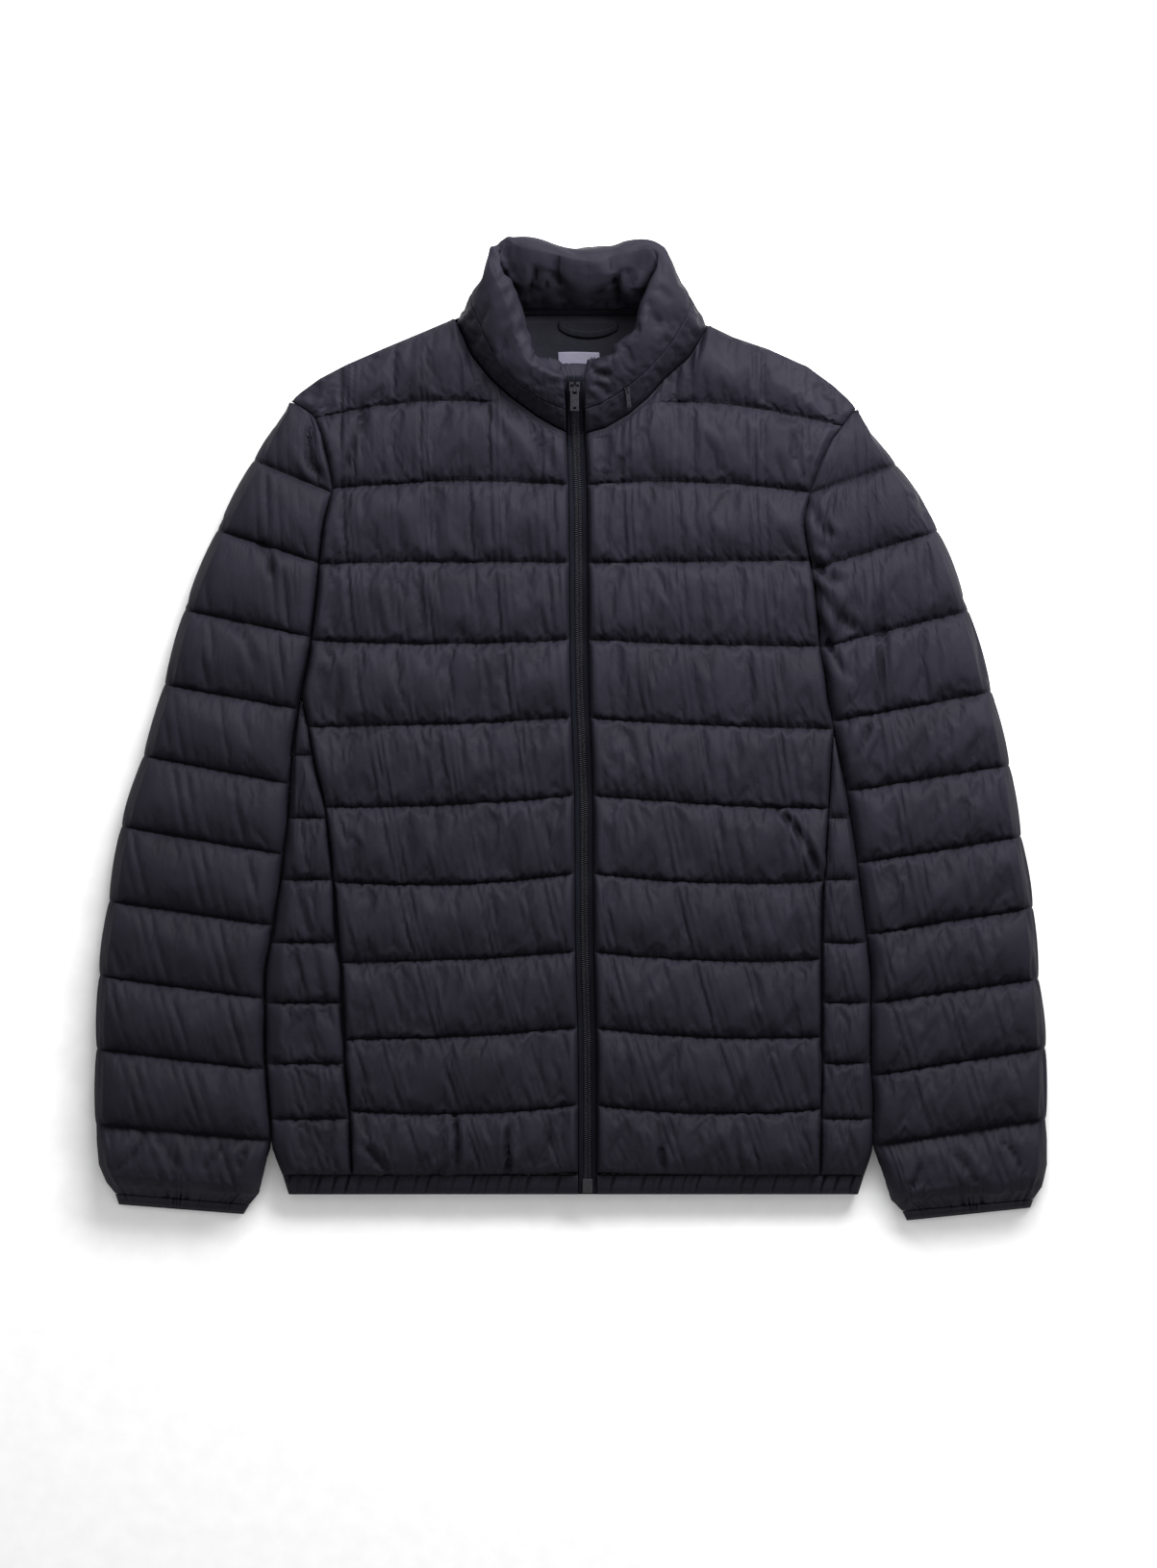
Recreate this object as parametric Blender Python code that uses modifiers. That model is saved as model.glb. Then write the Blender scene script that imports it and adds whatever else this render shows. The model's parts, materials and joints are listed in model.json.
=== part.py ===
"""Quilted jacket, zipped up and laid flat on its back.

Frame: the origin is on the floor under the middle of the back, +X points to the wearer's left,
+Y to the collar and +Z up, out of the front. Every size below is in millimetres and becomes
metres where a mesh is made. Each sewn piece is a padded wall: plain inside, quilted outside, and
flat where it rests on the floor.
"""
import math

import bmesh
import bpy
import numpy as np
from mathutils import Matrix, Vector

MM = 0.001

# ---------------------------------------------------------------- driving sizes
BACK_TOP = 14.0          # the back layer, pressed flat, is this thick
FRONT_UNDER = 14.4       # plain inside of everything that lies on the back
SEAM_TOP = 20.0          # height of the front where a quilting seam pulls it down
SHOULDER_TOP = 17.0      # the same at the shoulder seam
PUFF = 13.0              # how far a full channel swells above its seams
FULL_PITCH = 58.0        # channels narrower than this swell less
SEW_GAP = 0.4            # between two pieces that are sewn together
ZIP_HALF = 7.6           # from the middle of the zip to the edge of a front
POCKET_SLIT = 1.3        # extra gap on each side of the pocket mouth
POCKET_Y = (-262.0, -116.0)
YOKE_FROM = 110.0        # further out than this the yoke is a channel of its own
EDGE_ROUND = 14.0        # a channel rounds down to its end seams over this width
SCALLOP = 2.2            # a seam draws the folded edge in by this much
SUB_ROWS = (0.0, 0.12, 0.34, 0.66, 0.88)      # where a channel's cross-section has points


# Colour, roughness and metallic of each kind of stuff.
LOOKS = {"nylon": ((0.024, 0.024, 0.032), 0.5, 0.0), "lining": ((0.012, 0.012, 0.016), 0.6, 0.0),
         "tape": ((0.014, 0.014, 0.017), 0.8, 0.0), "label": ((0.19, 0.185, 0.22), 0.7, 0.0),
         "metal": ((0.045, 0.045, 0.05), 0.35, 0.9), "plastic": ((0.02, 0.02, 0.022), 0.4, 0.0)}


def table(columns, *rows):
    """Short table of sizes: one array for each named column."""
    return dict(zip(columns.split(), np.array(rows, float).T))


# Quilting seams of the fronts: height at the side, middle and zip of each front.
FRONT_LINES = table(
    "right_side right_mid zip left_mid left_side",
    (249, 263, 254, 261, 243),
    (193, 199, 196, 198, 190),
    (133, 135, 134, 135, 136),
    (73, 70, 73, 69, 68),
    (4, 6, 11, 5, 2),
    (-60, -58, -51, -58, -61),
    (-119, -121, -113, -120, -119),
    (-184, -181, -175, -182, -181),
    (-245, -242, -236, -243, -243),
    (-301, -304, -297, -304, -300),
    (-353, -353, -351, -353, -353))

# Neck seam, then shoulder line, of each front from the zip to the shoulder tip.
TOP = {
    "right": table("x y", (-11, 237.5), (-14, 238.5), (-21, 242), (-34, 249.4), (-56, 265.5),
                   (-72, 280), (-87, 299), (-100, 328), (-125, 317.5), (-155, 305),
                   (-186, 291.5), (-207, 280.5), (-222, 269.5), (-227, 265), (-229.5, 262.4)),
    "left": table("x y", (4.2, 236.5), (7, 237), (20, 240.5), (39, 251.7), (54, 264.5),
                  (68, 280), (88, 298), (102.5, 323), (122, 313.5), (150, 304),
                  (181, 290), (201, 275.5), (213, 264.5), (217.5, 259.5), (219.6, 256.3))}

# Armhole, then side seam, of each front from the shoulder tip to the hem.
FRONT_EDGE = {
    "right": table("y x", (262.4, -229.5), (249, -211), (233, -205), (214, -200), (195, -197),
                   (180, -200), (165, -203.5), (138, -206.5), (107, -209), (76, -212.7),
                   (50, -217), (28, -221), (12, -218), (-20, -212), (-60, -203), (-100, -198),
                   (-150, -194.5), (-200, -190), (-250, -188), (-300, -183.5), (-353, -181)),
    "left": table("y x", (256.3, 219.6), (243, 209), (229, 198), (206, 188), (184, 181.5),
                  (164, 178.5), (141, 181.5), (118, 185.5), (92, 188.2), (67, 190.5),
                  (46, 194.3), (20, 197.5), (0, 201.5), (-19, 200), (-60, 198), (-100, 195.5),
                  (-150, 193), (-200, 192.8), (-250, 192.8), (-300, 192), (-353, 191))}

# Folded side of the body, from the underarm to the hem.
BODY_EDGE = {
    "right": table("y x", (76, -212.7), (50, -217), (20, -223), (-20, -229), (-60, -231.5),
                   (-100, -235.6), (-150, -243), (-200, -250.5), (-250, -250.5), (-300, -247),
                   (-330, -244.5), (-353, -237), (-369, -232)),
    "left": table("y x", (67, 190.5), (46, 194.3), (20, 197.5), (-20, 206), (-60, 214),
                  (-100, 219.8), (-150, 226), (-200, 231.5), (-250, 231), (-300, 233.3),
                  (-330, 232.5), (-353, 226.5), (-369, 221.5))}
SIDE_TOP = {"right": 12.0, "left": -12.0}     # where the side panel's point begins
SIDE_LINES = (-19.0, -69.0, -118.0, -168.0, -216.0, -264.0, -308.0, -353.0)
SIDE_UNDER = {"right": 0.7, "left": 1.6}      # width under the body, as a share of that on top

# Middle of the zip, which wanders a little on its way down.
ZIP = table("y x", (285, -4.4), (237, -3.4), (190, -1.6), (46, -0.4), (0, 1.1), (-61, 3.2),
            (-138, 3.4), (-184, 4.0), (-260, 5.9), (-369, 6.1))

# Sleeve seams: outer fold, height of the inner end, and how far the underarm is closed there.
SLEEVE = {
    "right": table("outer_x outer_y inner_y closed", (-236, 257, 256, 0), (-261.6, 216.5, 190, 0),
                   (-290.7, 160.7, 134, 0), (-316.7, 97, 75, 0.5), (-332.8, 38, 17.6, 1),
                   (-349.6, -19, -42, 1), (-367, -75, -98, 1), (-377, -134.6, -154.5, 1),
                   (-384.8, -194, -212.7, 1), (-387, -252.5, -269, 1), (-387.9, -312, -325, 1)),
    "left": table("outer_x outer_y inner_y closed", (224, 251, 250, 0), (254, 212.7, 189, 0),
                  (286.9, 160, 128.5, 0), (311.4, 96.4, 66.6, 0.5), (329.7, 32, 7.7, 1),
                  (344, -26.8, -47.4, 1), (353.4, -83.4, -104.8, 1), (362.6, -140, -161.4, 1),
                  (367.2, -196.6, -216.5, 1), (372.6, -251.7, -273.9, 1),
                  (373.3, -307.5, -329, 1))}
# Last channel down to the binding, and the binding itself: both ends of each line.
CUFF = {
    "right": table("outer_x outer_y inner_x inner_y", (-384, -345, -252, -353),
                   (-378, -360, -255.5, -368), (-373, -368, -263, -377),
                   (-370.5, -377, -268, -385)),
    "left": table("outer_x outer_y inner_x inner_y", (372.5, -345, 243, -358),
                  (369, -363, 247.5, -373), (364, -372.5, 256.5, -382),
                  (362, -379.5, 260.5, -390))}
CUFF_HEIGHT = 0.40       # height of the drawn-in sleeve end, as a share of the sleeve's
CUFF_GATHERS = 12
SLEEVE_REST = 0.75       # room between the sleeve and the side it lies against

HEM_Y = (-353.4, -368.8)
HEM_LAYER = 9.6
HEM_HEIGHT = 18.6
HEM_GATHERS = {"right": 6, "left": 4}
GATHER_DEPTH = 1.0

# Collar: its foot on the neck seam, the middle of its rolled rim, its thickness there and the
# share of that kept on the inside, where a corner pinches it. It runs zip to zip round the back.
COLLAR = table(
    "foot_x foot_y rim_x rim_y rim_z thick inside",
    (-11, 237.5, -12.4, 278, 49, 12, 1), (-21, 242, -19, 280.5, 50.5, 12.5, 1),
    (-34, 249.4, -30, 285, 52, 13, 1), (-56, 265.5, -40, 294, 54.5, 15, 1),
    (-72, 280, -47.5, 308, 57, 17, 1), (-87, 299, -54, 328, 59, 17.5, 1),
    (-98, 324, -62, 350, 61, 17, 0.7), (-94, 333, -67, 363, 61.5, 13.5, 0.4),
    (-82, 339, -65.5, 374.5, 61, 12, 0.3), (-66, 342, -56, 381, 60, 14, 0.6),
    (-38, 342.5, -37, 379, 58, 20, 1), (0, 342.5, 2, 373.5, 57, 21, 1),
    (38, 342.5, 37, 376.5, 58, 20, 1), (68, 342, 54, 379.5, 60, 14, 0.6),
    (84, 338.5, 64, 373.5, 61, 12, 0.3), (97, 331, 66, 361.5, 61.5, 13.5, 0.4),
    (101, 320, 61.5, 347, 61, 17, 0.7), (88, 298, 54, 330, 59, 17.5, 1),
    (68, 280, 45.5, 312, 57, 17, 1), (54, 264.5, 34, 301, 54.5, 15, 1),
    (39, 251.7, 22.5, 291, 52, 13, 1), (20, 240.5, 12, 284, 50.5, 12.5, 1),
    (4.2, 236.5, 4.0, 279, 49, 12, 1))
COLLAR_STATIONS_PER_ROW = 3
LINING_Y = (254.0, 324.0)   # half-moon of lining on the inside of the back
SLIDER = {"wide": 8.4, "long": 9.0, "thick": 2.2}
PULL = {"wide": 6.9, "long": 24.0, "thick": 1.4, "clear": 0.35}
HOOD_ZIP_END_X = 36.0
HOOD_PULL_LONG = 17.5
COLLAR_FOOT_HALF = 5.0   # half the wall's thickness on the neck seam
COLLAR_FOOT_TOP = 19.5
BAND_SHARE = 0.55        # share of the collar's height that is the lower band
BAND_GAP = 0.9           # between the lower band and the roll, where the hood zip runs
COLLAR_CREASES = table("station depth width", (30.2, 4.0, 1.1), (32.4, 3.0, 0.9),
                       (35.6, 3.6, 1.2), (57.0, 2.2, 0.9))


# ---------------------------------------------------------------- curves
def smooth(xs, ys, at):
    """Smooth curve through a table's points that never overshoots them."""
    order = np.argsort(xs)
    xs, ys = np.asarray(xs, float)[order], np.asarray(ys, float)[order]
    steps = np.diff(xs)
    slopes = np.diff(ys) / steps
    middle = np.where(slopes[:-1] * slopes[1:] > 0,
                      2 * slopes[:-1] * slopes[1:] / (slopes[:-1] + slopes[1:] + 1e-12), 0.0)
    tangents = np.concatenate([[slopes[0]], middle, [slopes[-1]]])
    at = np.clip(np.asarray(at, float), xs[0], xs[-1])
    cell = np.clip(np.searchsorted(xs, at) - 1, 0, len(xs) - 2)
    width = steps[cell]
    t = (at - xs[cell]) / width
    return ((1 + 2 * t) * (1 - t) ** 2 * ys[cell] + t * (1 - t) ** 2 * width * tangents[cell]
            + t * t * (3 - 2 * t) * ys[cell + 1] + t * t * (t - 1) * width * tangents[cell + 1])


def blend(a, b, share):
    return a + (b - a) * share


def ease(value):
    """0 to 1 with a soft start and end."""
    value = np.clip(value, 0.0, 1.0)
    return value * value * (3 - 2 * value)


def channel(t):
    """Cross-section of a stuffed channel from one seam (0) to the next (1)."""
    return np.clip(4 * t * (1 - t), 0.0, 1.0) ** 0.62


def rounding(distance, width):
    """0 at an end seam, rising as a quarter circle to 1 at the given width."""
    q = np.clip(distance / width, 0.0, 1.0)
    return np.sqrt(1 - (1 - q) ** 2)


def sign(side):
    return -1.0 if side == "right" else 1.0


def zip_x(y):
    return smooth(ZIP["y"], ZIP["x"], y)


def pocket(y):
    """1 along the pocket mouth, fading at its two ends."""
    return ease((y - POCKET_Y[0]) / 12.0) * ease((POCKET_Y[1] - y) / 12.0)


def front_edge(side, y):
    """Side edge of a front, drawn back a little at the pocket mouth."""
    edge = smooth(FRONT_EDGE[side]["y"], FRONT_EDGE[side]["x"], y)
    return edge - sign(side) * POCKET_SLIT * pocket(y)


def body_edge(side, y):
    """Outermost line of the body: the armhole above the underarm, the side fold below it."""
    rows = BODY_EDGE[side]
    if y > rows["y"][0]:
        return float(smooth(FRONT_EDGE[side]["y"], FRONT_EDGE[side]["x"], y))
    return float(smooth(rows["y"], rows["x"], y))


# ---------------------------------------------------------------- meshes
def bridge(faces, first, second, first_at=None, second_at=None):
    """Faces between two chains of point numbers, which may have unequal counts."""
    first_at = np.linspace(0, 1, len(first)) if first_at is None else first_at
    second_at = np.linspace(0, 1, len(second)) if second_at is None else second_at
    i = j = 0
    while i < len(first) - 1 or j < len(second) - 1:
        next_i = first_at[i + 1] if i < len(first) - 1 else 9.0
        next_j = second_at[j + 1] if j < len(second) - 1 else 9.0
        if abs(next_i - next_j) < 1e-6:
            faces.append((first[i], first[i + 1], second[j + 1], second[j]))
            i, j = i + 1, j + 1
        elif next_i < next_j:
            faces.append((first[i], first[i + 1], second[j]))
            i += 1
        else:
            faces.append((first[i], second[j + 1], second[j]))
            j += 1


def shares(points, chain, fold=0, turn=None):
    """How far along a chain its points lie, from 0 to 1.

    In a folded chain the fold itself is at 0.5 and the other points count by their distance from
    the place where the cloth turns over.
    """
    plan = np.array([points[n][:2] for n in chain])
    if not fold:
        steps = np.linalg.norm(np.diff([points[n] for n in chain], axis=0) * (1, 1, 0.3), axis=1)
        along = np.concatenate([[0], np.cumsum(steps)])
        return along / along[-1]
    reach = np.linalg.norm(plan - (plan[fold] if turn is None else turn), axis=1)
    reach = 0.5 * reach / max(reach[0], reach[-1])
    along = np.where(np.arange(len(chain)) < fold, 0.5 - reach, 0.5 + reach)
    along[[0, fold, -1]] = (0, 0.5, 1)
    return along


def rail(count, head, tail):
    """Shares along a chain whose first and last points keep their partners in other chains."""
    middle = np.linspace(0.3, 0.7, count - head - tail)
    return np.concatenate([np.linspace(0, 0.29, head), middle, np.linspace(0.71, 1, tail)])


def number_rows(points, rows):
    """Append rows of points and return their numbers, row by row."""
    numbers = []
    for row in rows:
        numbers.append(list(range(len(points), len(points) + len(row))))
        points.extend(map(tuple, row))
    return numbers


def paint(name, look):
    """A material of the piece's own in one of the named looks."""
    colour, roughness, metallic = LOOKS[look]
    material = bpy.data.materials.new(name + "_" + look)
    material.use_nodes = True
    shader = material.node_tree.nodes["Principled BSDF"]
    shader.inputs["Base Color"].default_value = (*colour, 1.0)
    shader.inputs["Roughness"].default_value = roughness
    shader.inputs["Metallic"].default_value = metallic
    return material


def make_piece(name, points, faces, look):
    """One closed, outward-facing solid with its own material."""
    mesh = bpy.data.meshes.new(name)
    mesh.from_pydata([tuple(MM * c for c in p) for p in points], [], faces)
    work = bmesh.new()
    work.from_mesh(mesh)
    bmesh.ops.recalc_face_normals(work, faces=work.faces)
    work.to_mesh(mesh)
    work.free()
    mesh.shade_smooth()
    mesh.set_sharp_from_angle(angle=math.radians(50))
    piece = bpy.data.objects.new(name, mesh)
    JACKET.objects.link(piece)
    mesh.materials.append(paint(name, look))
    return piece


def padded_wall(name, outer, inner, inner_at, look, head=2, tail=2, folds=(0, 0)):
    """Wall between quilted outer rows and fewer plain inner rows, sewn shut all round.

    The folds are the places in an outer and an inner row where the wall turns over.
    """
    points, faces = [], []
    out_rows = number_rows(points, outer)
    in_rows = number_rows(points, inner)
    for a, b in zip(out_rows, out_rows[1:]):
        bridge(faces, a, b, rail(len(a), head, tail), rail(len(b), head, tail))
    for a, b in zip(in_rows, in_rows[1:]):
        if len(a) == len(b):
            bridge(faces, b, a)
        else:
            bridge(faces, b, a, shares(points, b, folds[1]), shares(points, a, folds[1]))
    for end, turned in ((0, False), (-1, True)):
        turn = points[out_rows[end][folds[0]]][:2]
        edges = [(out_rows[end], folds[0], turn), (in_rows[end], folds[1], turn)]
        first, second = edges if turned else edges[::-1]
        bridge(faces, first[0], second[0], shares(points, *first), shares(points, *second))
    out_at = np.arange(len(outer)) / (len(outer) - 1)
    in_at = np.array(inner_at) / (len(outer) - 1)
    for end in (0, -1):
        first = [row[end] for row in out_rows]
        second = [row[end] for row in in_rows]
        bridge(faces, first, second, out_at, in_at)
    return make_piece(name, points, faces, look)


def ring_tube(name, sections, look):
    """Solid through closed sections of equal counts, capped at both ends."""
    points, faces = [], []
    rings = number_rows(points, sections)
    for a, b in zip(rings, rings[1:]):
        for i in range(len(a)):
            j = (i + 1) % len(a)
            faces += [(a[i], a[j], b[j]), (a[i], b[j], b[i])]
    faces.append(tuple(reversed(rings[0])))
    faces.append(tuple(rings[-1]))
    return make_piece(name, points, faces, look)




# ---------------------------------------------------------------- fronts
def seam_heights(side, u):
    """Heights of the quilting seams of a front at the share u of its width from the zip."""
    at_zip, middle, at_side = (FRONT_LINES[c] for c in ("zip", side + "_mid", side + "_side"))
    return (at_zip * (1 - u) * (1 - 2 * u) + middle * 4 * u * (1 - u) + at_side * u * (2 * u - 1))


def front_column(side, u):
    """One column of a front: the heights of its rows and the seams that bound its channels."""
    top_x = blend(TOP[side]["x"][0], TOP[side]["x"][-1], u)
    top_y = float(np.interp(sign(side) * top_x, sign(side) * TOP[side]["x"], TOP[side]["y"]))
    seams = seam_heights(side, u)
    yoke = min(seams[0], top_y - 5.0)
    bounds = [top_y, yoke, *seams[1:]]
    heights = [blend(a, b, t) for a, b in zip(bounds, bounds[1:]) for t in SUB_ROWS]
    return top_x, bounds, heights + [bounds[-1]]


def front_point(side, u, y, top_x, bounds):
    """Place and height of a front's outer skin."""
    top_y, yoke, second = bounds[:3]
    if y >= second:
        share = (y - second) / (top_y - second)
        low = blend(zip_x(second) + sign(side) * ZIP_HALF, front_edge(side, second), u)
        side_y = blend(seam_heights(side, 1.0)[1], TOP[side]["y"][-1], share)
        straight = blend(front_edge(side, seam_heights(side, 1.0)[1]), TOP[side]["x"][-1], share)
        x = blend(low, top_x, share) + u ** 3 * (front_edge(side, side_y) - straight)
        width = blend(190.0, abs(TOP[side]["x"][-1] - TOP[side]["x"][0]), share)
    else:
        left, right = zip_x(y) + sign(side) * ZIP_HALF, front_edge(side, y)
        x = blend(left, right, u)
        width = abs(right - left)
    cell = int(np.clip(np.searchsorted(-np.array(bounds), -y, side="right") - 1, 0,
                       len(bounds) - 2))
    pitch = bounds[cell] - bounds[cell + 1]
    swell = channel((bounds[cell] - y) / pitch) * min(1.0, pitch / FULL_PITCH) ** 0.6
    if cell < 2:
        single = channel((top_y - y) / (top_y - second))
        single *= min(1.0, (top_y - second) / FULL_PITCH) ** 0.6
        apart = (top_y - seam_heights(side, u)[0] - 8.0) / 25.0
        swell = blend(single, swell, 1.0 if abs(top_x) > YOKE_FROM else ease(apart))
    swell *= rounding(u * width, EDGE_ROUND) * rounding((1 - u) * width, EDGE_ROUND)
    base = blend(SHOULDER_TOP, SEAM_TOP, ease((top_y - y) / 25.0)) if u > 0.42 else SEAM_TOP
    return x, y, base + PUFF * swell


def make_front(side):
    """A front: quilted skin over a flat inside that lies on the back."""
    xs = TOP[side]["x"]
    columns = []
    for u in (xs - xs[0]) / (xs[-1] - xs[0]):
        top_x, bounds, heights = front_column(side, u)
        columns.append([front_point(side, u, y, top_x, bounds) for y in heights])
    rows = [[tuple(map(float, column[r])) for column in columns] for r in range(len(columns[0]))]
    points, faces = [], []
    numbers = number_rows(points, rows)
    for a, b in zip(numbers, numbers[1:]):
        bridge(faces, a, b)
    rim = (numbers[0] + [row[-1] for row in numbers[1:-1]] + numbers[-1][::-1]
           + [row[0] for row in numbers[-2:0:-1]])
    under = number_rows(points, [[(points[n][0], points[n][1], FRONT_UNDER) for n in rim]])[0]
    for k in range(len(rim)):
        after = (k + 1) % len(rim)
        faces.append((rim[k], rim[after], under[after], under[k]))
    faces.append(tuple(under))
    return make_piece("front_" + side, points, faces, "nylon")


# ---------------------------------------------------------------- side panels
def side_widths(side, y):
    """Width of a side panel on top of the body and under it."""
    on_top = abs(body_edge(side, y) - float(front_edge(side, y))) - SEW_GAP
    on_top -= POCKET_SLIT * pocket(y)
    return on_top, max(6.0, on_top * SIDE_UNDER[side])


def side_section(side, y, swell):
    """Outer and inner points of a side panel, from its back seam round the fold to the front."""
    top, under = side_widths(side, y)
    drawn = SCALLOP * (1 - swell)
    fold = min(2.4, 0.3 * top)

    def height(d):
        return SEAM_TOP + PUFF * 0.9 * swell * rounding(d, 18.0) * rounding(top - d, 11.0)

    outer = [(under, 0), (min(12.0, 0.75 * under), 0), (min(4.5, 0.4 * under) + drawn * 0.5, 2),
             (drawn * 0.25, 9), (drawn * 0.25, 17), (fold + drawn * 0.4, height(fold) - 0.8)]
    outer += [(top * f, height(top * f)) for f in (0.45, 0.7, 0.9, 1.0)]
    tip = 0.55 * min(17.0, top, under)
    inner = [(under, BACK_TOP), (tip + 0.2 * min(7.0, under), BACK_TOP),
             (tip, 0.5 * (BACK_TOP + FRONT_UNDER)),
             (tip + 0.2 * min(7.0, top), FRONT_UNDER), (top, FRONT_UNDER)]
    edge = body_edge(side, y)
    return [[(edge - sign(side) * d, y, z) for d, z in chain] for chain in (outer, inner)]


def make_side(side):
    lines = [SIDE_TOP[side]] + [y for y in SIDE_LINES if y < SIDE_TOP[side] - 20]
    steps = [(blend(a, b, t), channel(t) * min(1.0, (a - b) / 48.0) ** 0.6)
             for a, b in zip(lines, lines[1:]) for t in (0.0, 0.16, 0.5, 0.84)]
    steps.append((lines[-1], 0.0))
    outer, inner = zip(*(side_section(side, y, swell) for y, swell in steps))
    return padded_wall("side_" + side, outer, inner, range(len(outer)), "nylon", folds=(3, 2))


# ---------------------------------------------------------------- back
def back_outline():
    """Outline of the back and, for each point, how far its free edge is rounded."""
    halves = []
    for side in ("right", "left"):
        half = []
        low = np.arange(HEM_Y[0] + 0.4, SIDE_TOP[side], 18.0)
        for y in [*low, SIDE_TOP[side]]:
            inset = side_widths(side, min(y, SIDE_TOP[side]))[1] + SEW_GAP
            half.append((body_edge(side, y) - sign(side) * inset, y, 0))
        half[-1] = (half[-1][0], SIDE_TOP[side] + SEW_GAP, 0)
        half.append((body_edge(side, SIDE_TOP[side]) - sign(side) * 0.2,
                     SIDE_TOP[side] + SEW_GAP, 0))
        tip = FRONT_EDGE[side]["y"][0]
        half += [(float(front_edge(side, y)), y, 0)
                 for y in np.linspace(SIDE_TOP[side] + 7, tip - 3, 32)]
        half += [(x, y, 1) for x, y in zip(TOP[side]["x"][::-1], TOP[side]["y"][::-1])
                 if abs(x) > 95]
        half += [(sign(side) * x, y, 1) for x, y in ((88, 339), (62, 342.5), (30, 343.5))]
        halves.append(half)
    return halves[0] + halves[1][::-1]


def make_back():
    """The back: a flat-bottomed padded layer that everything else lies on."""
    outline = back_outline()
    plan = np.array([(x, y) for x, y, _ in outline])
    along = np.roll(plan, -1, 0) - np.roll(plan, 1, 0)
    inward = np.stack([along[:, 1], -along[:, 0]], 1)
    inward /= np.linalg.norm(inward, axis=1)[:, None]
    free = np.array([r for _, _, r in outline])[:, None]
    levels = []
    for inset, z in ((4.0, 0.0), (0.9, 3.2), (0.0, 8.0), (0.7, BACK_TOP)):
        ring = plan + inward * free * inset
        levels.append([(x, y, z) for x, y in ring])
    return ring_tube("back", levels, "nylon")


# ---------------------------------------------------------------- sleeves and cuffs
def sleeve_height(q, width, swell, closed, small):
    """Height of the sleeve's skin at the distance q from its outer fold."""
    near_outer = rounding(q, 14.0 * small)
    near_inner = rounding(width - q, 16.0 * small)
    base = SEAM_TOP - 4.0 * (1 - near_outer) - 5.0 * closed * (1 - near_inner)
    full = rounding(q, 24.0 * small) * rounding(width - q, blend(12.0, 22.0, closed) * small)
    return base + PUFF * 1.08 * swell * full


def sleeve_section(outer_end, inner_end, swell, closed, flat=1.0, waves=0.0, gathers=0, lift=0.0,
                   at_end=False):
    """Outer and inner points across a sleeve, from the underarm seam round to it again.

    At a gathered end the inside gets a point under each outer one, so the edge closes evenly.
    """
    outer_end, inner_end = np.array(outer_end, float), np.array(inner_end, float)
    width = float(np.linalg.norm(inner_end - outer_end))
    across = (inner_end - outer_end) / width
    small = min(1.0, width / 70.0)
    drawn = SCALLOP * (1 - swell) * small

    def at(open_point, shut_point):
        return tuple(blend(a, b, closed) for a, b in zip(open_point, shut_point))

    outer = [at((width, 0), (width - 0.8, 8.0)), at((width - 4 * small, 0), (width - 3.5, 1.6)),
             (width - 13 * small, 0), (13 * small, 0), (4 * small + drawn, 2.4), (drawn, 11),
             (2.6 * small + drawn, 18.2 + 1.5 * swell)]
    count = 3 * gathers if gathers else 6
    across_top = np.linspace(9 * small / width, 1 - 11 * small / width, count)
    for f in across_top:
        wave = waves * math.sin(2 * math.pi * gathers * f + 1.1 * math.sin(5 * f))
        wave *= ease((f * width - 11 * small) / 8) * ease((width - 13 * small - f * width) / 8)
        outer.append((f * width, sleeve_height(f * width, width, swell, closed, small) + wave))
    outer += [(width - 5 * small, sleeve_height(width - 5 * small, width, swell, closed, small)),
              at((width - 2.0 * small, SEAM_TOP), (width - 0.4, 15.0)),
              at((width, SEAM_TOP), (width - 0.6, 8.5))]
    inner = [at((width, BACK_TOP), (width - 7, 13.2)), (width - 15 * small, BACK_TOP),
             (13 * small, BACK_TOP), (11.5 * small, 0.5 * (BACK_TOP + FRONT_UNDER)),
             (13 * small, FRONT_UNDER)]
    if at_end:
        inner += [(f * width, FRONT_UNDER) for f in across_top
                  if 14 * small < f * width < width - 16 * small]
    inner += [(width - 15 * small, FRONT_UNDER), at((width, FRONT_UNDER), (width - 7, 13.7))]

    def place(chain):
        placed = []
        for q, z in chain:
            x, y = outer_end + across * q
            placed.append((x, y, z * flat + (lift if z > BACK_TOP else 0.0)))
        return placed

    return place(outer), place(inner)


def sleeve_line(side, share):
    """Both ends of the sleeve's cross line at a row number, counted in seams."""
    rows = SLEEVE[side]
    at = np.arange(len(rows["outer_x"]))
    outer = (float(smooth(at, rows["outer_x"], share)), float(smooth(at, rows["outer_y"], share)))
    inner_y = float(smooth(at, rows["inner_y"], share))
    inner = (body_edge(side, inner_y) + sign(side) * SLEEVE_REST, inner_y)
    return outer, inner, float(np.interp(share, at, rows["closed"]))


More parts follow.
